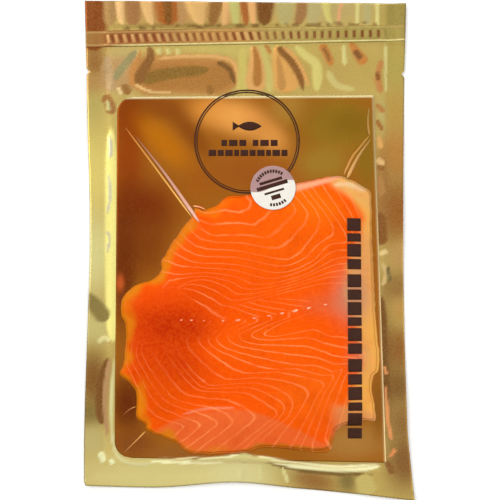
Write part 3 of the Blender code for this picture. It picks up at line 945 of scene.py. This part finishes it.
def card_edge_highlight(x, y):
    """A painted highlight on the card's cut edge: strong along its top, fainter down its right side."""
    (left, left_y), _, (low, low_y), (right, right_y) = CARD_CORNERS
    from_top = np.interp(x, (left, right), (left_y, right_y)) - y
    from_right = low + (right - low) * ((y - low_y) / (right_y - low_y)) - x
    return np.maximum(smooth(from_top, 1.3, 0.5), 0.75 * smooth(from_right, 1.0, 0.4))


def edge_rim(x, y, depth):
    """1 at the fish's outer edge, fading inwards; strong on its left side."""
    width = RIM_WIDTH * (1 + 0.45 * noise(x, y, 6, 31))
    return smooth(width - depth, 0, RIM_WIDTH * 0.9) * smooth(-x, -4, 30)


def flesh_tone(x, y, depth):
    """The slices' colour before their fat lines: patches, a painted reflection of the loose film, painted
    highlights and reflections near the top edge, the pale fringe and the rims.
    """
    rgb = painted(x, y, FLESH, (
        ("FF6404", 24, 6, 34, 26, 0, 0.9),
        ("FF6404", 10, -50, 30, 10, 0, 0.6),
        ("FB7606", 34, 21, 16, 9, -25, 0.7),
        ("F04E00", -28, -24, 24, 14, 0, 0.8),
        ("DC3A00", -40, -38, 24, 15, 0, 0.9),
        (FLESH_DARK, -38, -42, 19, 9),
        ("D63C00", -55, -52, 9, 20, 0, 0.7),
        ("CE3200", -36, -60, 20, 13, -30, 0.85),
        ("E04A00", -46, -76, 13, 12, 0, 0.8),
        ("F65400", 10, -70, 36, 12, 0, 0.5),
        ("E8683C", 42, -30, 14, 6, 0, 0.7),
        ("FF7410", 34, -76, 22, 16, 0, 0.5),
    ))
    # A painted reflection of the loose film over the fish's foot, with a painted highlight along its upper
    # border.
    film_sheen = smooth(loose_film_depth(x, y), 0, 2.5) * (0.75 - 0.15 * blob(x, y, 20, -96, 16, 9))
    rgb = blend(rgb, LOOSE_FILM_SHEEN, film_sheen)
    rgb = blend(rgb, "F6A27E", 0.8 * stroke(x, y, 0.5, 0.5, ((-33, -85.4), (-20, -82.3), (-4, -82))))
    at_y, at_x = zip(*PALE_EDGE)
    pale = smooth(x - np.interp(y, at_y, at_x) - 1.2 * noise(x, y, 7, 33), 0, 6)
    rgb = blend(rgb, PALE_FLESH, pale * 0.95)
    mauve = ((54, -26, 10, 14, 0, 0.75), (57, -56, 6, 10, 0, 0.4), (60, -4, 6, 12, 0, 0.3))
    rgb = blend(rgb, "C88E78", sum(blob(x, y, *patch) for patch in mauve))
    # Painted reflections of the film at the fish's upper right, and painted highlights along its top edge.
    corner = smooth(y - (29 - 0.62 * (x - 44)), -1.5, 4) * smooth(x, 38, 46)
    rgb = blend(rgb, "EDB868", corner * 0.8)
    rgb = blend(rgb, "FFB088", 1.1 * stroke(x, y, 2.2, 1.0, ((21, 29), (34, 31.8), (50, 36))))
    rgb = blend(rgb, "F2D0A0", 0.9 * stroke(x, y, 1.0, 1.6, ((44, 31), (52, 31.4), (62, 28))))
    foot = smooth(-(y + 80) - 0.2 * (x - 54), 0, 5) * smooth(x, 40, 48)
    rgb = blend(rgb, "E9A063", foot * 0.8)
    low_rim = smooth(2.8 + 0.8 * noise(x, y, 4, 34) - depth, 0, 1.6) * smooth(-y, 94, 99) * smooth(x, -10, 4)
    rgb = blend(rgb, "CC7414", low_rim * 0.85)
    return FLESH_SHADE * blend(rgb, RIM, edge_rim(x, y, depth) * 0.9)


def loose_film_depth(x, y):
    """How far inside the zone at the foot where the film has let go of the fish; there the flesh gets a
    painted reflection of the film.
    """
    edge = (
        (-52, -96), (-44.3, -91.4), (-34.8, -86.4), (-22.3, -82.9),
        (-6, -81.5), (8, -84), (24, -91), (38, -98.5),
    )
    return level_on(edge, x) - y


# --- Lines of fat ---
def band_numbers(x, y, guides):
    """The band number at each point, from the nearest sample of the surface lofted between guides."""
    numbers = np.array([number for number, _ in guides], float)
    curves = np.array([spline(points, 14) for _, points in guides])
    steps = np.linspace(0, len(guides) - 1, 12 * (len(guides) - 1) + 1)
    knot = np.arange(len(guides))
    lofted = np.empty((len(steps), *curves.shape[1:]))
    for axis in (0, 1):
        for i in range(curves.shape[1]):
            lofted[:, i, axis] = np.interp(steps, knot, curves[:, i, axis])
    number = np.interp(steps, knot, numbers)
    across = np.gradient(lofted, axis=0)
    along = np.gradient(lofted, axis=1)
    rate = np.gradient(number)
    flat = lofted.reshape(-1, 2)
    tree = KDTree(len(flat))
    for i, (px, py) in enumerate(flat):
        tree.insert((px, py, 0), i)
    tree.balance()
    nearest = np.array([tree.find((px, py, 0))[1] for px, py in zip(x, y)])
    row, column = np.divmod(nearest, curves.shape[1])
    a, b = across[row, column], along[row, column]
    dx, dy = x - flat[nearest, 0], y - flat[nearest, 1]
    area = a[:, 0] * b[:, 1] - a[:, 1] * b[:, 0]
    area = np.where(np.abs(area) < 1e-4, 1e-4, area)
    share = np.clip((dx * b[:, 1] - dy * b[:, 0]) / area, -2, 2)
    return number[row] + share * rate[row]


def fat_strength(x, y, depth):
    """How clearly the lines of fat show."""
    strength = 0.95 - 0.8 * blob(x, y, -46, -40, 18, 15) - 0.5 * blob(x, y, -44, -26, 16, 10)
    strength -= 0.25 * blob(x, y, 4, -14, 22, 10)
    strength -= 0.5 * blob(x, y, 40, -34, 12, 8)
    strength -= 0.6 * blob(x, y, -44, -68, 24, 24)
    strength *= 0.8 + 0.5 * noise(x, y, 16, 51)
    strength *= 1 - 0.6 * edge_rim(x, y, depth)
    strength *= 1 - 0.35 * smooth(x, 52, 62)
    strength *= 1 - 0.8 * smooth(x, 6, -8) * smooth(np.abs(y + 43), 8, 3)
    return np.clip(strength, 0, 1)


# --- Pieces ---
def pucker_shade(x, y):
    """Painted shade in small pleats where the foil gathers along the zip's upper edge."""
    across, ends = zip_across(x, y)
    beside = smooth(np.abs(across - ZIP_WIDTH / 2 - 1.2), 1.6, 0.5)
    return beside * smooth(noise(x + 0.4 * y, y, 2.2, 71), 0.0, 0.5) * smooth(ends, SIDE_SEAL, SIDE_SEAL + 4)


def pouch_sheet(name, field, look, slot_name):
    """A sheet over the whole pouch at a field's height, and where its points are."""
    x, y = in_pouch(*grid_uv(POUCH_COLUMNS, POUCH_ROWS))
    return grid_object(name, x, y, field.at(x, y), POUCH_COLUMNS, POUCH_ROWS, look, slot_name), x, y


def make_foil(foil):
    obj, x, y = pouch_sheet("foil_back", foil, foil_look(), "gold_foil")
    # The foil's tone: painted reflections from the patches and folds, and painted shade in the pleats by the
    # zip.
    tone = painted(x, y, FOIL_GOLD, FOIL_PAINTED_REFLECTIONS, HEADER_FOLDS + NECK_FOLDS + SIDE_FOLDS + FOOT_FOLDS)
    set_colours(obj, "tone", blend(tone, "6A4418", 0.7 * pucker_shade(x, y)))
    into_seal = np.maximum(SIDE_SEAL - from_sides(x, y), BOTTOM_SEAL - from_bottom(x, y))
    set_values(obj, "seal", smooth(into_seal, -0.4, 0.4))
    thicken(obj, FOIL_THICK)
    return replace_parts(obj, "pouch_back")


def card_edges(v):
    """Left and right ends of a row of the card, with the left corners rounded."""
    top_left, low_left, low_right, top_right = (np.array(c) for c in CARD_CORNERS)
    left = low_left + (top_left - low_left) * v[:, None]
    right = low_right + (top_right - low_right) * v[:, None]
    height = top_left[1] - low_left[1]
    from_end = np.minimum(v, 1 - v) * height
    short = np.clip(CARD_RADIUS - from_end, 0, None)
    inset = CARD_RADIUS - np.sqrt(np.clip(CARD_RADIUS**2 - short**2, 0, None))
    left[:, 0] += inset
    return left, right


def card_outline():
    v = np.linspace(0, 1, 160)
    left, right = card_edges(v)
    return np.concatenate([left[::-1], right])


def make_card():
    u, v = grid_uv(CARD_COLUMNS, CARD_ROWS)
    left, right = card_edges(v)
    at = left + (right - left) * u[:, None]
    x, y = at[:, 0], at[:, 1]
    top = np.full(x.shape, CARD_BASE + CARD_THICK)
    obj = grid_object("gold_card", x, y, top, CARD_COLUMNS, CARD_ROWS, card_look(), "gold_card")
    # Painted reflections, with a painted highlight along the card's edge.
    tone = CARD_SHADE * painted(x, y, CARD_GOLD, CARD_REFLECTIONS_AND_SMEAR)
    set_colours(obj, "tone", blend(tone, "F4E8B0", card_edge_highlight(x, y)))
    return thicken(obj, CARD_THICK)


def slice_loop(reach):
    """The fish's outline from its centre, pushed out by reach(angle) and roughened."""
    loop = spline(FISH_OUTLINE, 6, closed=True) - FISH_CENTRE
    angle = np.arctan2(loop[:, 1], loop[:, 0])
    radius = np.hypot(loop[:, 0], loop[:, 1])
    order = np.argsort(angle)
    angle, radius = angle[order], radius[order]
    at = np.linspace(-math.pi, math.pi, SPOKES, endpoint=False)
    around = np.interp(at, angle, radius, period=2 * math.pi)
    rough = 0.35 * noise(np.cos(at) * around, np.sin(at) * around, 2.3, 41)
    return at, around + reach(at) + rough


def slice_shape(reach, low_at, top_at):
    """One slice: rings of vertices out from the centre, over the top, round the edge and under."""
    at, radius = slice_loop(reach)
    out = np.linspace(0, 1, RINGS + 1)[1:] ** 0.8
    inner = np.linspace(1, 0.1, UNDER_RINGS)
    rings = np.concatenate([out[:, None] * radius, inner[:, None] * (radius - 0.4)])
    x = FISH_CENTRE[0] + rings * np.cos(at)
    y = FISH_CENTRE[1] + rings * np.sin(at)
    low, top = low_at(x, y), top_at(x, y)
    rim = np.clip((radius - rings) / 1.2, 0, 1)
    z = low + (top - low) * (0.3 + 0.7 * np.sqrt(1 - (1 - rim) ** 2))
    z[RINGS:] = low[RINGS:]
    centre = np.array(FISH_CENTRE)[:, None]
    poles = [[*FISH_CENTRE, level(*centre)[0]] for level in (top_at, low_at)]
    vertices = np.concatenate([np.stack([x.ravel(), y.ravel(), z.ravel()], 1), poles])
    ring = np.arange(SPOKES)
    after = (ring + 1) % SPOKES
    faces = []
    for i in range(len(rings) - 1):
        a, b = i * SPOKES, (i + 1) * SPOKES
        faces += np.stack([a + ring, b + ring, b + after, a + after], 1).tolist()
    last = (len(rings) - 1) * SPOKES
    faces += [[len(vertices) - 2, int(i), int(j)] for i, j in zip(ring, after)]
    faces += [[len(vertices) - 1, int(last + j), int(last + i)] for i, j in zip(ring, after)]
    return vertices, faces


def mark_slice(obj, x, y):
    """Writes the tones, band numbers and strength of fat that the flesh material reads."""
    depth = np.clip(depth_in(x, y, fish_loop), 0, None)
    rgb = flesh_tone(x, y, depth)
    set_colours(obj, "tone", rgb)
    set_colours(obj, "fat_tone", rgb * 0.35 + colour(FAT) * 0.65)
    for name, guides in (("upper", UPPER_GUIDES), ("wedge", WEDGE_GUIDES), ("lower", LOWER_GUIDES)):
        set_values(obj, name + "_band", band_numbers(x, y, guides))
    set_values(obj, "below_line", level_on(LATERAL_LINE, x) - y)
    set_values(obj, "below_wedge_top", level_on(WEDGE_TOP, x) - y)
    set_values(obj, "fat", fat_strength(x, y, depth))


def lobes(group):
    """A slice's reach by angle, as a sum of (direction, spread, reach) in degrees and mm."""
    def reach(at):
        total = np.zeros(at.shape)
        for direction, spread, most in group:
            turn = np.degrees(np.angle(np.exp(1j * (at - math.radians(direction)))))
            total += most * np.exp(-((turn / spread) ** 2))
        return total
    return reach


def make_slices(film):
    """Slices that share out the height between the card and the film."""
    look = salmon_look()

    def level(share, gap=0.0):
        def height(x, y):
            under_film = np.maximum(film.at(x, y) - FILM_GAP - FISH_CLEARANCE, FISH_BASE + 0.5)
            return FISH_BASE + share * (under_film - FISH_BASE) - gap
        return height

    reaches = (lambda at: np.full(at.shape, -0.8), *(lobes(group) for group in LOWER_SLICES))
    for i, name in enumerate(("salmon_slice_top", "salmon_slice_middle", "salmon_slice_bottom")):
        top = level(1 - i / SLICE_COUNT, 0.03 if i else 0.0)
        vertices, faces = slice_shape(reaches[i], level(1 - (i + 1) / SLICE_COUNT), top)
        obj = mesh_object(name, vertices, faces, look, "salmon")
        mark_slice(obj, vertices[:, 0], vertices[:, 1])


def ball():
    """Vertices and faces of a ball of radius 1."""
    made = bmesh.new()
    bmesh.ops.create_icosphere(made, subdivisions=2, radius=1.0)
    points = np.array([v.co for v in made.verts])
    faces = [[v.index for v in face.verts] for face in made.faces]
    made.free()
    return points, faces


def make_flecks(film):
    """Flecks of fat along the lateral line: flattened balls joined in one mesh."""
    points, faces = ball()
    rng = np.random.default_rng(7)
    flecks = []
    for i, x in enumerate(LATERAL_FLECKS):
        y = level_on(LATERAL_LINE, x)
        z = film.at(np.array([x]), np.array([y]))[0] - FILM_GAP - 0.02
        size = (1.15 + 0.4 * rng.uniform(-1, 1)) * (0.6 if i < 3 else 1.0)
        angle = math.radians(10 + rng.uniform(-12, 12))
        flat = turned(points[:, :2] * (size, 0.42 * size), angle)
        flecks.append((np.stack([x + flat[:, 0], y + flat[:, 1], z + 0.22 * points[:, 2]], 1), faces))
    return mesh_object("fat_flecks", *joined(flecks), fleck_look(), "salmon")


def make_film(film):
    obj, x, y = pouch_sheet("front_film", film, film_look(), "clear_film")
    # Painted highlights on the film along the card's foot, in the attribute "cloud".
    cloud = sum(stroke(x, y, start, end, path) for _, start, end, _, path in FILM_FOLDS)
    set_values(obj, "cloud", np.clip(cloud, 0, 0.85))
    set_colours(obj, "film_highlight_tone", painted(x, y, "E8B070", (), FILM_FOLDS))
    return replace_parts(obj, "pouch_front")


def zip_tone(x, y):
    """Brown at the left to olive at the right, with a painted highlight on each rail, and painted highlights
    and shade on the crimps.
    """
    across, ends = zip_across(x, y)
    rgb = painted(x, y, "B29C50", (
        ("A0642C", -60, 110, 34, 40),
        ("BC843E", -14, 110, 20, 40, 0, 0.9),
        ("A49648", 62, 110, 24, 40, 0, 0.9),
    ))
    between = smooth(ZIP_WIDTH / 2 - ZIP_RAIL - np.abs(across), -0.1, 0.5)
    between *= smooth(ends, SIDE_SEAL - 1, SIDE_SEAL + 1)
    rightward = smooth(x, -5, 45)
    phase = 2 * math.pi * (x + 0.3 * across * (1 - rightward)) / ZIP_PITCH + 1.4 * noise(x, 0 * x, 13, 61)
    wave = 0.5 + 0.5 * np.cos(phase)
    uneven = 0.7 + 0.3 * noise(x, 0 * x, 7, 62)
    # Painted highlights on the crimps' ridges, and painted shade in their hollows.
    rgb = blend(rgb, "E0B070", uneven * between * smooth(wave, 0.55, 0.85) * (0.8 - 0.6 * rightward))
    short = 1 - rightward * smooth(np.abs(across), 1.6, 2.2)
    rgb = blend(rgb, "7E3A10", (0.4 + 0.6 * uneven) * between * short * smooth(wave, 0.45, 0.15))
    # Painted highlights along the rails.
    rail = np.abs(np.abs(across) - (ZIP_WIDTH - ZIP_RAIL) / 2)
    rgb = blend(rgb, "CDA868", smooth(rail, 0.7, 0.2) * 0.5)
    low_rail_highlight = smooth(np.abs(across + ZIP_WIDTH / 2 - 0.5), 0.7, 0.2) * smooth(x, -74, -60)
    return blend(rgb, "EEE49A", low_rail_highlight * 0.9)


def make_zip(film):
    low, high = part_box("zip_strip")
    columns, rows = 420, 22
    u, v = grid_uv(columns, rows)
    x = (low.x + (high.x - low.x) * u) / MM
    rise = (high.y - low.y) / MM - ZIP_WIDTH
    y = low.y / MM + rise * u + ZIP_WIDTH * v
    obj = grid_object("zip_profile", x, y, film.at(x, y) - ZIP_SINK, columns, rows, zip_look(), "zip_plastic")
    set_colours(obj, "tone", zip_tone(x, y))
    thicken(obj, ZIP_THICK)
    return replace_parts(obj, "zip_strip")


def turned(points, angle):
    """Points turned about the origin."""
    x, y = points[:, 0], points[:, 1]
    cos, sin = math.cos(angle), math.sin(angle)
    return np.stack([x * cos - y * sin, x * sin + y * cos], 1)


def draped(name, shape, film, lift, look, slot_name="print_ink"):
    """A flat mesh of (x, y) vertices laid on the film."""
    vertices, faces = shape
    x, y = vertices[:, 0], vertices[:, 1]
    obj = mesh_object(name, np.stack([x, y, film.at(x, y) + lift], 1), faces, look, slot_name)
    return thicken(obj, INK_THICK)


def ring_shape(cx, cy, inner, outer, steps=160, start=0.0, turn=360.0):
    u, v = grid_uv(steps, 2)
    angle = np.radians(start + turn * u)
    radius = inner + (outer - inner) * v
    at = np.stack([cx + radius * np.cos(angle), cy + radius * np.sin(angle)], 1)
    return at, flipped(grid_faces(steps, 2))


def flipped(faces):
    return [face[::-1] for face in faces]


def bar_shape(x0, y0, x1, y1, columns=10, rows=6):
    u, v = grid_uv(columns, rows)
    return np.stack([x0 + (x1 - x0) * u, y0 + (y1 - y0) * v], 1), grid_faces(columns, rows)


def joined(shapes):
    vertices, faces, count = [], [], 0
    for points, polygons in shapes:
        vertices.append(points)
        faces += [[index + count for index in polygon] for polygon in polygons]
        count += len(points)
    return np.concatenate(vertices), faces


def lens_shape(cx, cy, half_length, half_width, columns=24, rows=4):
    """A leaf-shaped patch with pointed ends."""
    u, v = grid_uv(columns, rows)
    along = 2 * u - 1
    across = (2 * v - 1) * (1 - along**2)
    return np.stack([cx + half_length * along, cy + half_width * across], 1), grid_faces(columns, rows)


def tail_shape(cx, cy, length, half_width, columns=6, rows=4):
    u, v = grid_uv(columns, rows)
    across = (2 * v - 1) * u
    return np.stack([cx - length * u, cy + half_width * across], 1), flipped(grid_faces(columns, rows))


def ribbon_shape(start, end, path):
    """A strip along a path with pointed ends; also each vertex's way along it, and a crown."""
    line = spline(path, 16)
    along = np.gradient(line, axis=0)
    side = np.stack([-along[:, 1], along[:, 0]], 1) / np.hypot(along[:, 0], along[:, 1])[:, None]
    columns, rows = len(line) - 1, 4
    u, v = grid_uv(columns, rows)
    across = 2 * v - 1
    half = (start + (end - start) * u) * np.sqrt(smooth(u, -0.02, 0.15) * smooth(1 - u, -0.02, 0.15))
    at = np.repeat(line, rows + 1, axis=0) + np.repeat(side, rows + 1, axis=0) * (half * across)[:, None]
    return at, grid_faces(columns, rows), u, half * (1 - across**2)


def make_creases(film):
    """The film's sharp creases, each a low ridge that carries a painted highlight in its tone."""
    shapes, tones, crowns = [], [], []
    for first, last, start, end, path in CREASES:
        at, faces, u, crown = ribbon_shape(start, end, path)
        shapes.append((at, faces))
        tones.append(blend(np.tile(colour(first), (len(u), 1)), last, u))
        crowns.append(crown)
    lift = 0.08 + 0.5 * np.concatenate(crowns)
    obj = draped("film_creases", joined(shapes), film, lift, crease_highlight_look(), "clear_film")
    set_colours(obj, "tone", np.concatenate(tones))


def word_blocks(x0, y0, counts, size, gap, word_gap):
    """Plain blocks in a row, grouped as words are; size is (along, across) of the widest block."""
    shapes = []
    x = x0
    for count in counts:
        for i in range(count):
            long = size[0] * (1.0, 0.8, 1.0, 0.65)[(i * 3 + count) % 4]
            shapes.append((x, y0, x + long, y0 + size[1]))
            x += long + gap
        x += word_gap
    return shapes


def make_print(film):
    """A plain ring with a simple fish and rows of plain blocks, in place of the printed words."""
    ring = [ring_shape(*RING_CENTRE, *radii) for radii in RINGS_PRINTED]
    badge = [lens_shape(1.6, BADGE_FISH_Y, 6.2, 2.3), tail_shape(-3.6, BADGE_FISH_Y, 3.6, 2.3)]
    words = word_blocks(-13, 51.7, (3, 3), (4.4, 3.1), 1.0, 2.4)
    words += word_blocks(-19.6, 46.5, (10,), (3.9, 3.1), 0.75, 0)
    badge += [bar_shape(*block, 5, 5) for block in words]
    # The column is a row of words turned a quarter, so its blocks run down the pouch.
    tall = word_blocks(-13.8, 51.2, (4, 6, 6), (6.5, 7.1), 1.2, 1.4)
    column = [bar_shape(low, -bottom, high, -top, 6, 5) for top, low, bottom, high in tall]
    ink = ink_look()
    for name, shapes in (("print_ring", ring), ("print_badge", badge), ("print_column", column)):
        draped(name, joined(shapes), film, PRINT_LIFT, ink)


def make_label(film):
    low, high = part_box("round_label")
    cx, cy = (low.x + high.x) / 2 / MM, (low.y + high.y) / 2 / MM
    radius = (high.x - low.x) / 2 / MM
    rings, spokes = 24, 96
    u, v = grid_uv(spokes, rings)
    angle = 2 * math.pi * u
    x, y = cx + radius * v * np.cos(angle), cy + radius * v * np.sin(angle)
    vertices = np.stack([x, y, film.at(x, y) + LABEL_LIFT], 1)
    faces = flipped(grid_faces(spokes, rings))
    obj = mesh_object("round_label", vertices, faces, label_look(), "label_paper")
    weld = bmesh.new()
    weld.from_mesh(obj.data)
    bmesh.ops.remove_doubles(weld, verts=weld.verts, dist=1e-6)
    weld.to_mesh(obj.data)
    weld.free()
    points = np.array([p.co for p in obj.data.vertices]) / MM
    px, py = points[:, 0] - cx, points[:, 1] - cy
    set_values(obj, "upper", py - 0.32 * px - 1.0 - 1.1 * np.sin(px / 3.2))
    thicken(obj, LABEL_THICK)
    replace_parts(obj, "round_label")
    draped("label_marks", label_marks(cx, cy), film, LABEL_PRINT_LIFT, ink_look())


def label_marks(cx, cy):
    """Plain bars across the sticker, and short ticks round its top and bottom, in place of words."""
    bars = ((-6, 3.2, 6, 4.6), (-8.2, 0.4, 8.2, 2.4), (-5.2, -2.6, 5.2, -1.5), (-2.4, -6.2, 2.4, -3.8))
    marks = [bar_shape(*bar) for bar in bars]
    for count, inner, outer, start, step in ((11, 8.0, 9.6, 40, 9.4), (6, 8.2, 9.8, 243, 9.6)):
        marks += [ring_shape(0, 0, inner, outer, 4, start + step * i, 6.4) for i in range(count)]
    points, faces = joined(marks)
    return turned(points, math.radians(LABEL_TURN)) + (cx, cy), faces


# --- Stage ---
def make_floor():
    bpy.ops.mesh.primitive_plane_add(size=4.0, location=(0, 0, -0.0003))
    floor = bpy.context.active_object
    floor.name = "floor"
    look = Look("pale_floor", Roughness=0.7)
    tone = look.mix(look.remap(look.noise(30), 0.3, 0.7), colour("FAFAF8"), colour("F6F6F4"))
    look.link(tone, look.shader.inputs["Base Color"])
    floor.data.materials.append(look.material)
    floor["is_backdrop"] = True


def area_light(name, location, size, power):
    """A rectangular light that points at the pack's middle."""
    light = bpy.data.lights.new(name, "AREA")
    light.shape = "RECTANGLE"
    light.size, light.size_y = size
    light.energy = power
    obj = bpy.data.objects.new(name, light)
    obj.location = location
    obj.rotation_mode = "QUATERNION"
    obj.rotation_quaternion = (-Vector(location)).to_track_quat("-Z", "Y")
    bpy.context.scene.collection.objects.link(obj)


def make_world():
    """A white studio that darkens towards the horizon, so that folds show."""
    world = bpy.data.worlds.new("studio")
    world.use_nodes = True
    tree = world.node_tree
    background = tree.nodes["Background"]
    where = tree.nodes.new("ShaderNodeTexCoord")
    split = tree.nodes.new("ShaderNodeSeparateXYZ")
    ramp = tree.nodes.new("ShaderNodeValToRGB")
    ramp.color_ramp.elements[0].color = (0.45, 0.43, 0.40, 1)
    ramp.color_ramp.elements[1].color = (1.0, 1.0, 1.0, 1)
    ramp.color_ramp.elements[0].position = 0.3
    ramp.color_ramp.elements[1].position = 1.0
    tree.links.new(where.outputs["Generated"], split.inputs[0])
    tree.links.new(split.outputs["Z"], ramp.inputs["Fac"])
    tree.links.new(ramp.outputs["Color"], background.inputs["Color"])
    background.inputs["Strength"].default_value = 1.03
    bpy.context.scene.world = world


def make_camera():
    tilt = math.radians(CAMERA_TILT)
    x, y = CAMERA_TARGET
    target = Vector((x * MM, y * MM, 0))
    camera = bpy.data.cameras.new("camera")
    camera.lens = LENS
    camera.sensor_width = SENSOR
    obj = bpy.data.objects.new("camera", camera)
    obj.location = target + CAMERA_DISTANCE * Vector((0, -math.sin(tilt), math.cos(tilt)))
    obj.rotation_euler = (tilt, 0, 0)
    bpy.context.scene.collection.objects.link(obj)
    bpy.context.scene.camera = obj


def make_stage():
    make_floor()
    make_world()
    area_light("key", (-1.1, 0.6, 0.9), (1.2, 1.2), 14)
    area_light("fill", (1.1, -0.3, 0.7), (0.9, 1.2), 5)
    area_light("back", (0.1, 1.3, 0.5), (1.6, 0.5), 5)
    make_camera()
    bpy.context.scene.view_settings.view_transform = "Standard"


# --- Build ---
pack_side = cad_box[1].x / MM
pack_top = cad_box[1].y / MM
left_edge, right_edge, bottom_edge, top_edge = read_edges(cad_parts["pouch_back"])
card_loop = card_outline()
fish_loop = spline(FISH_OUTLINE, 5, closed=True)
foil_field, film_field = make_fields()
make_foil(foil_field)
make_card()
make_slices(film_field)
make_flecks(film_field)
make_zip(film_field)
make_film(film_field)
make_creases(film_field)
make_print(film_field)
make_label(film_field)
make_stage()

[[list(corner) for corner in box] for box in (cad_box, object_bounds())]
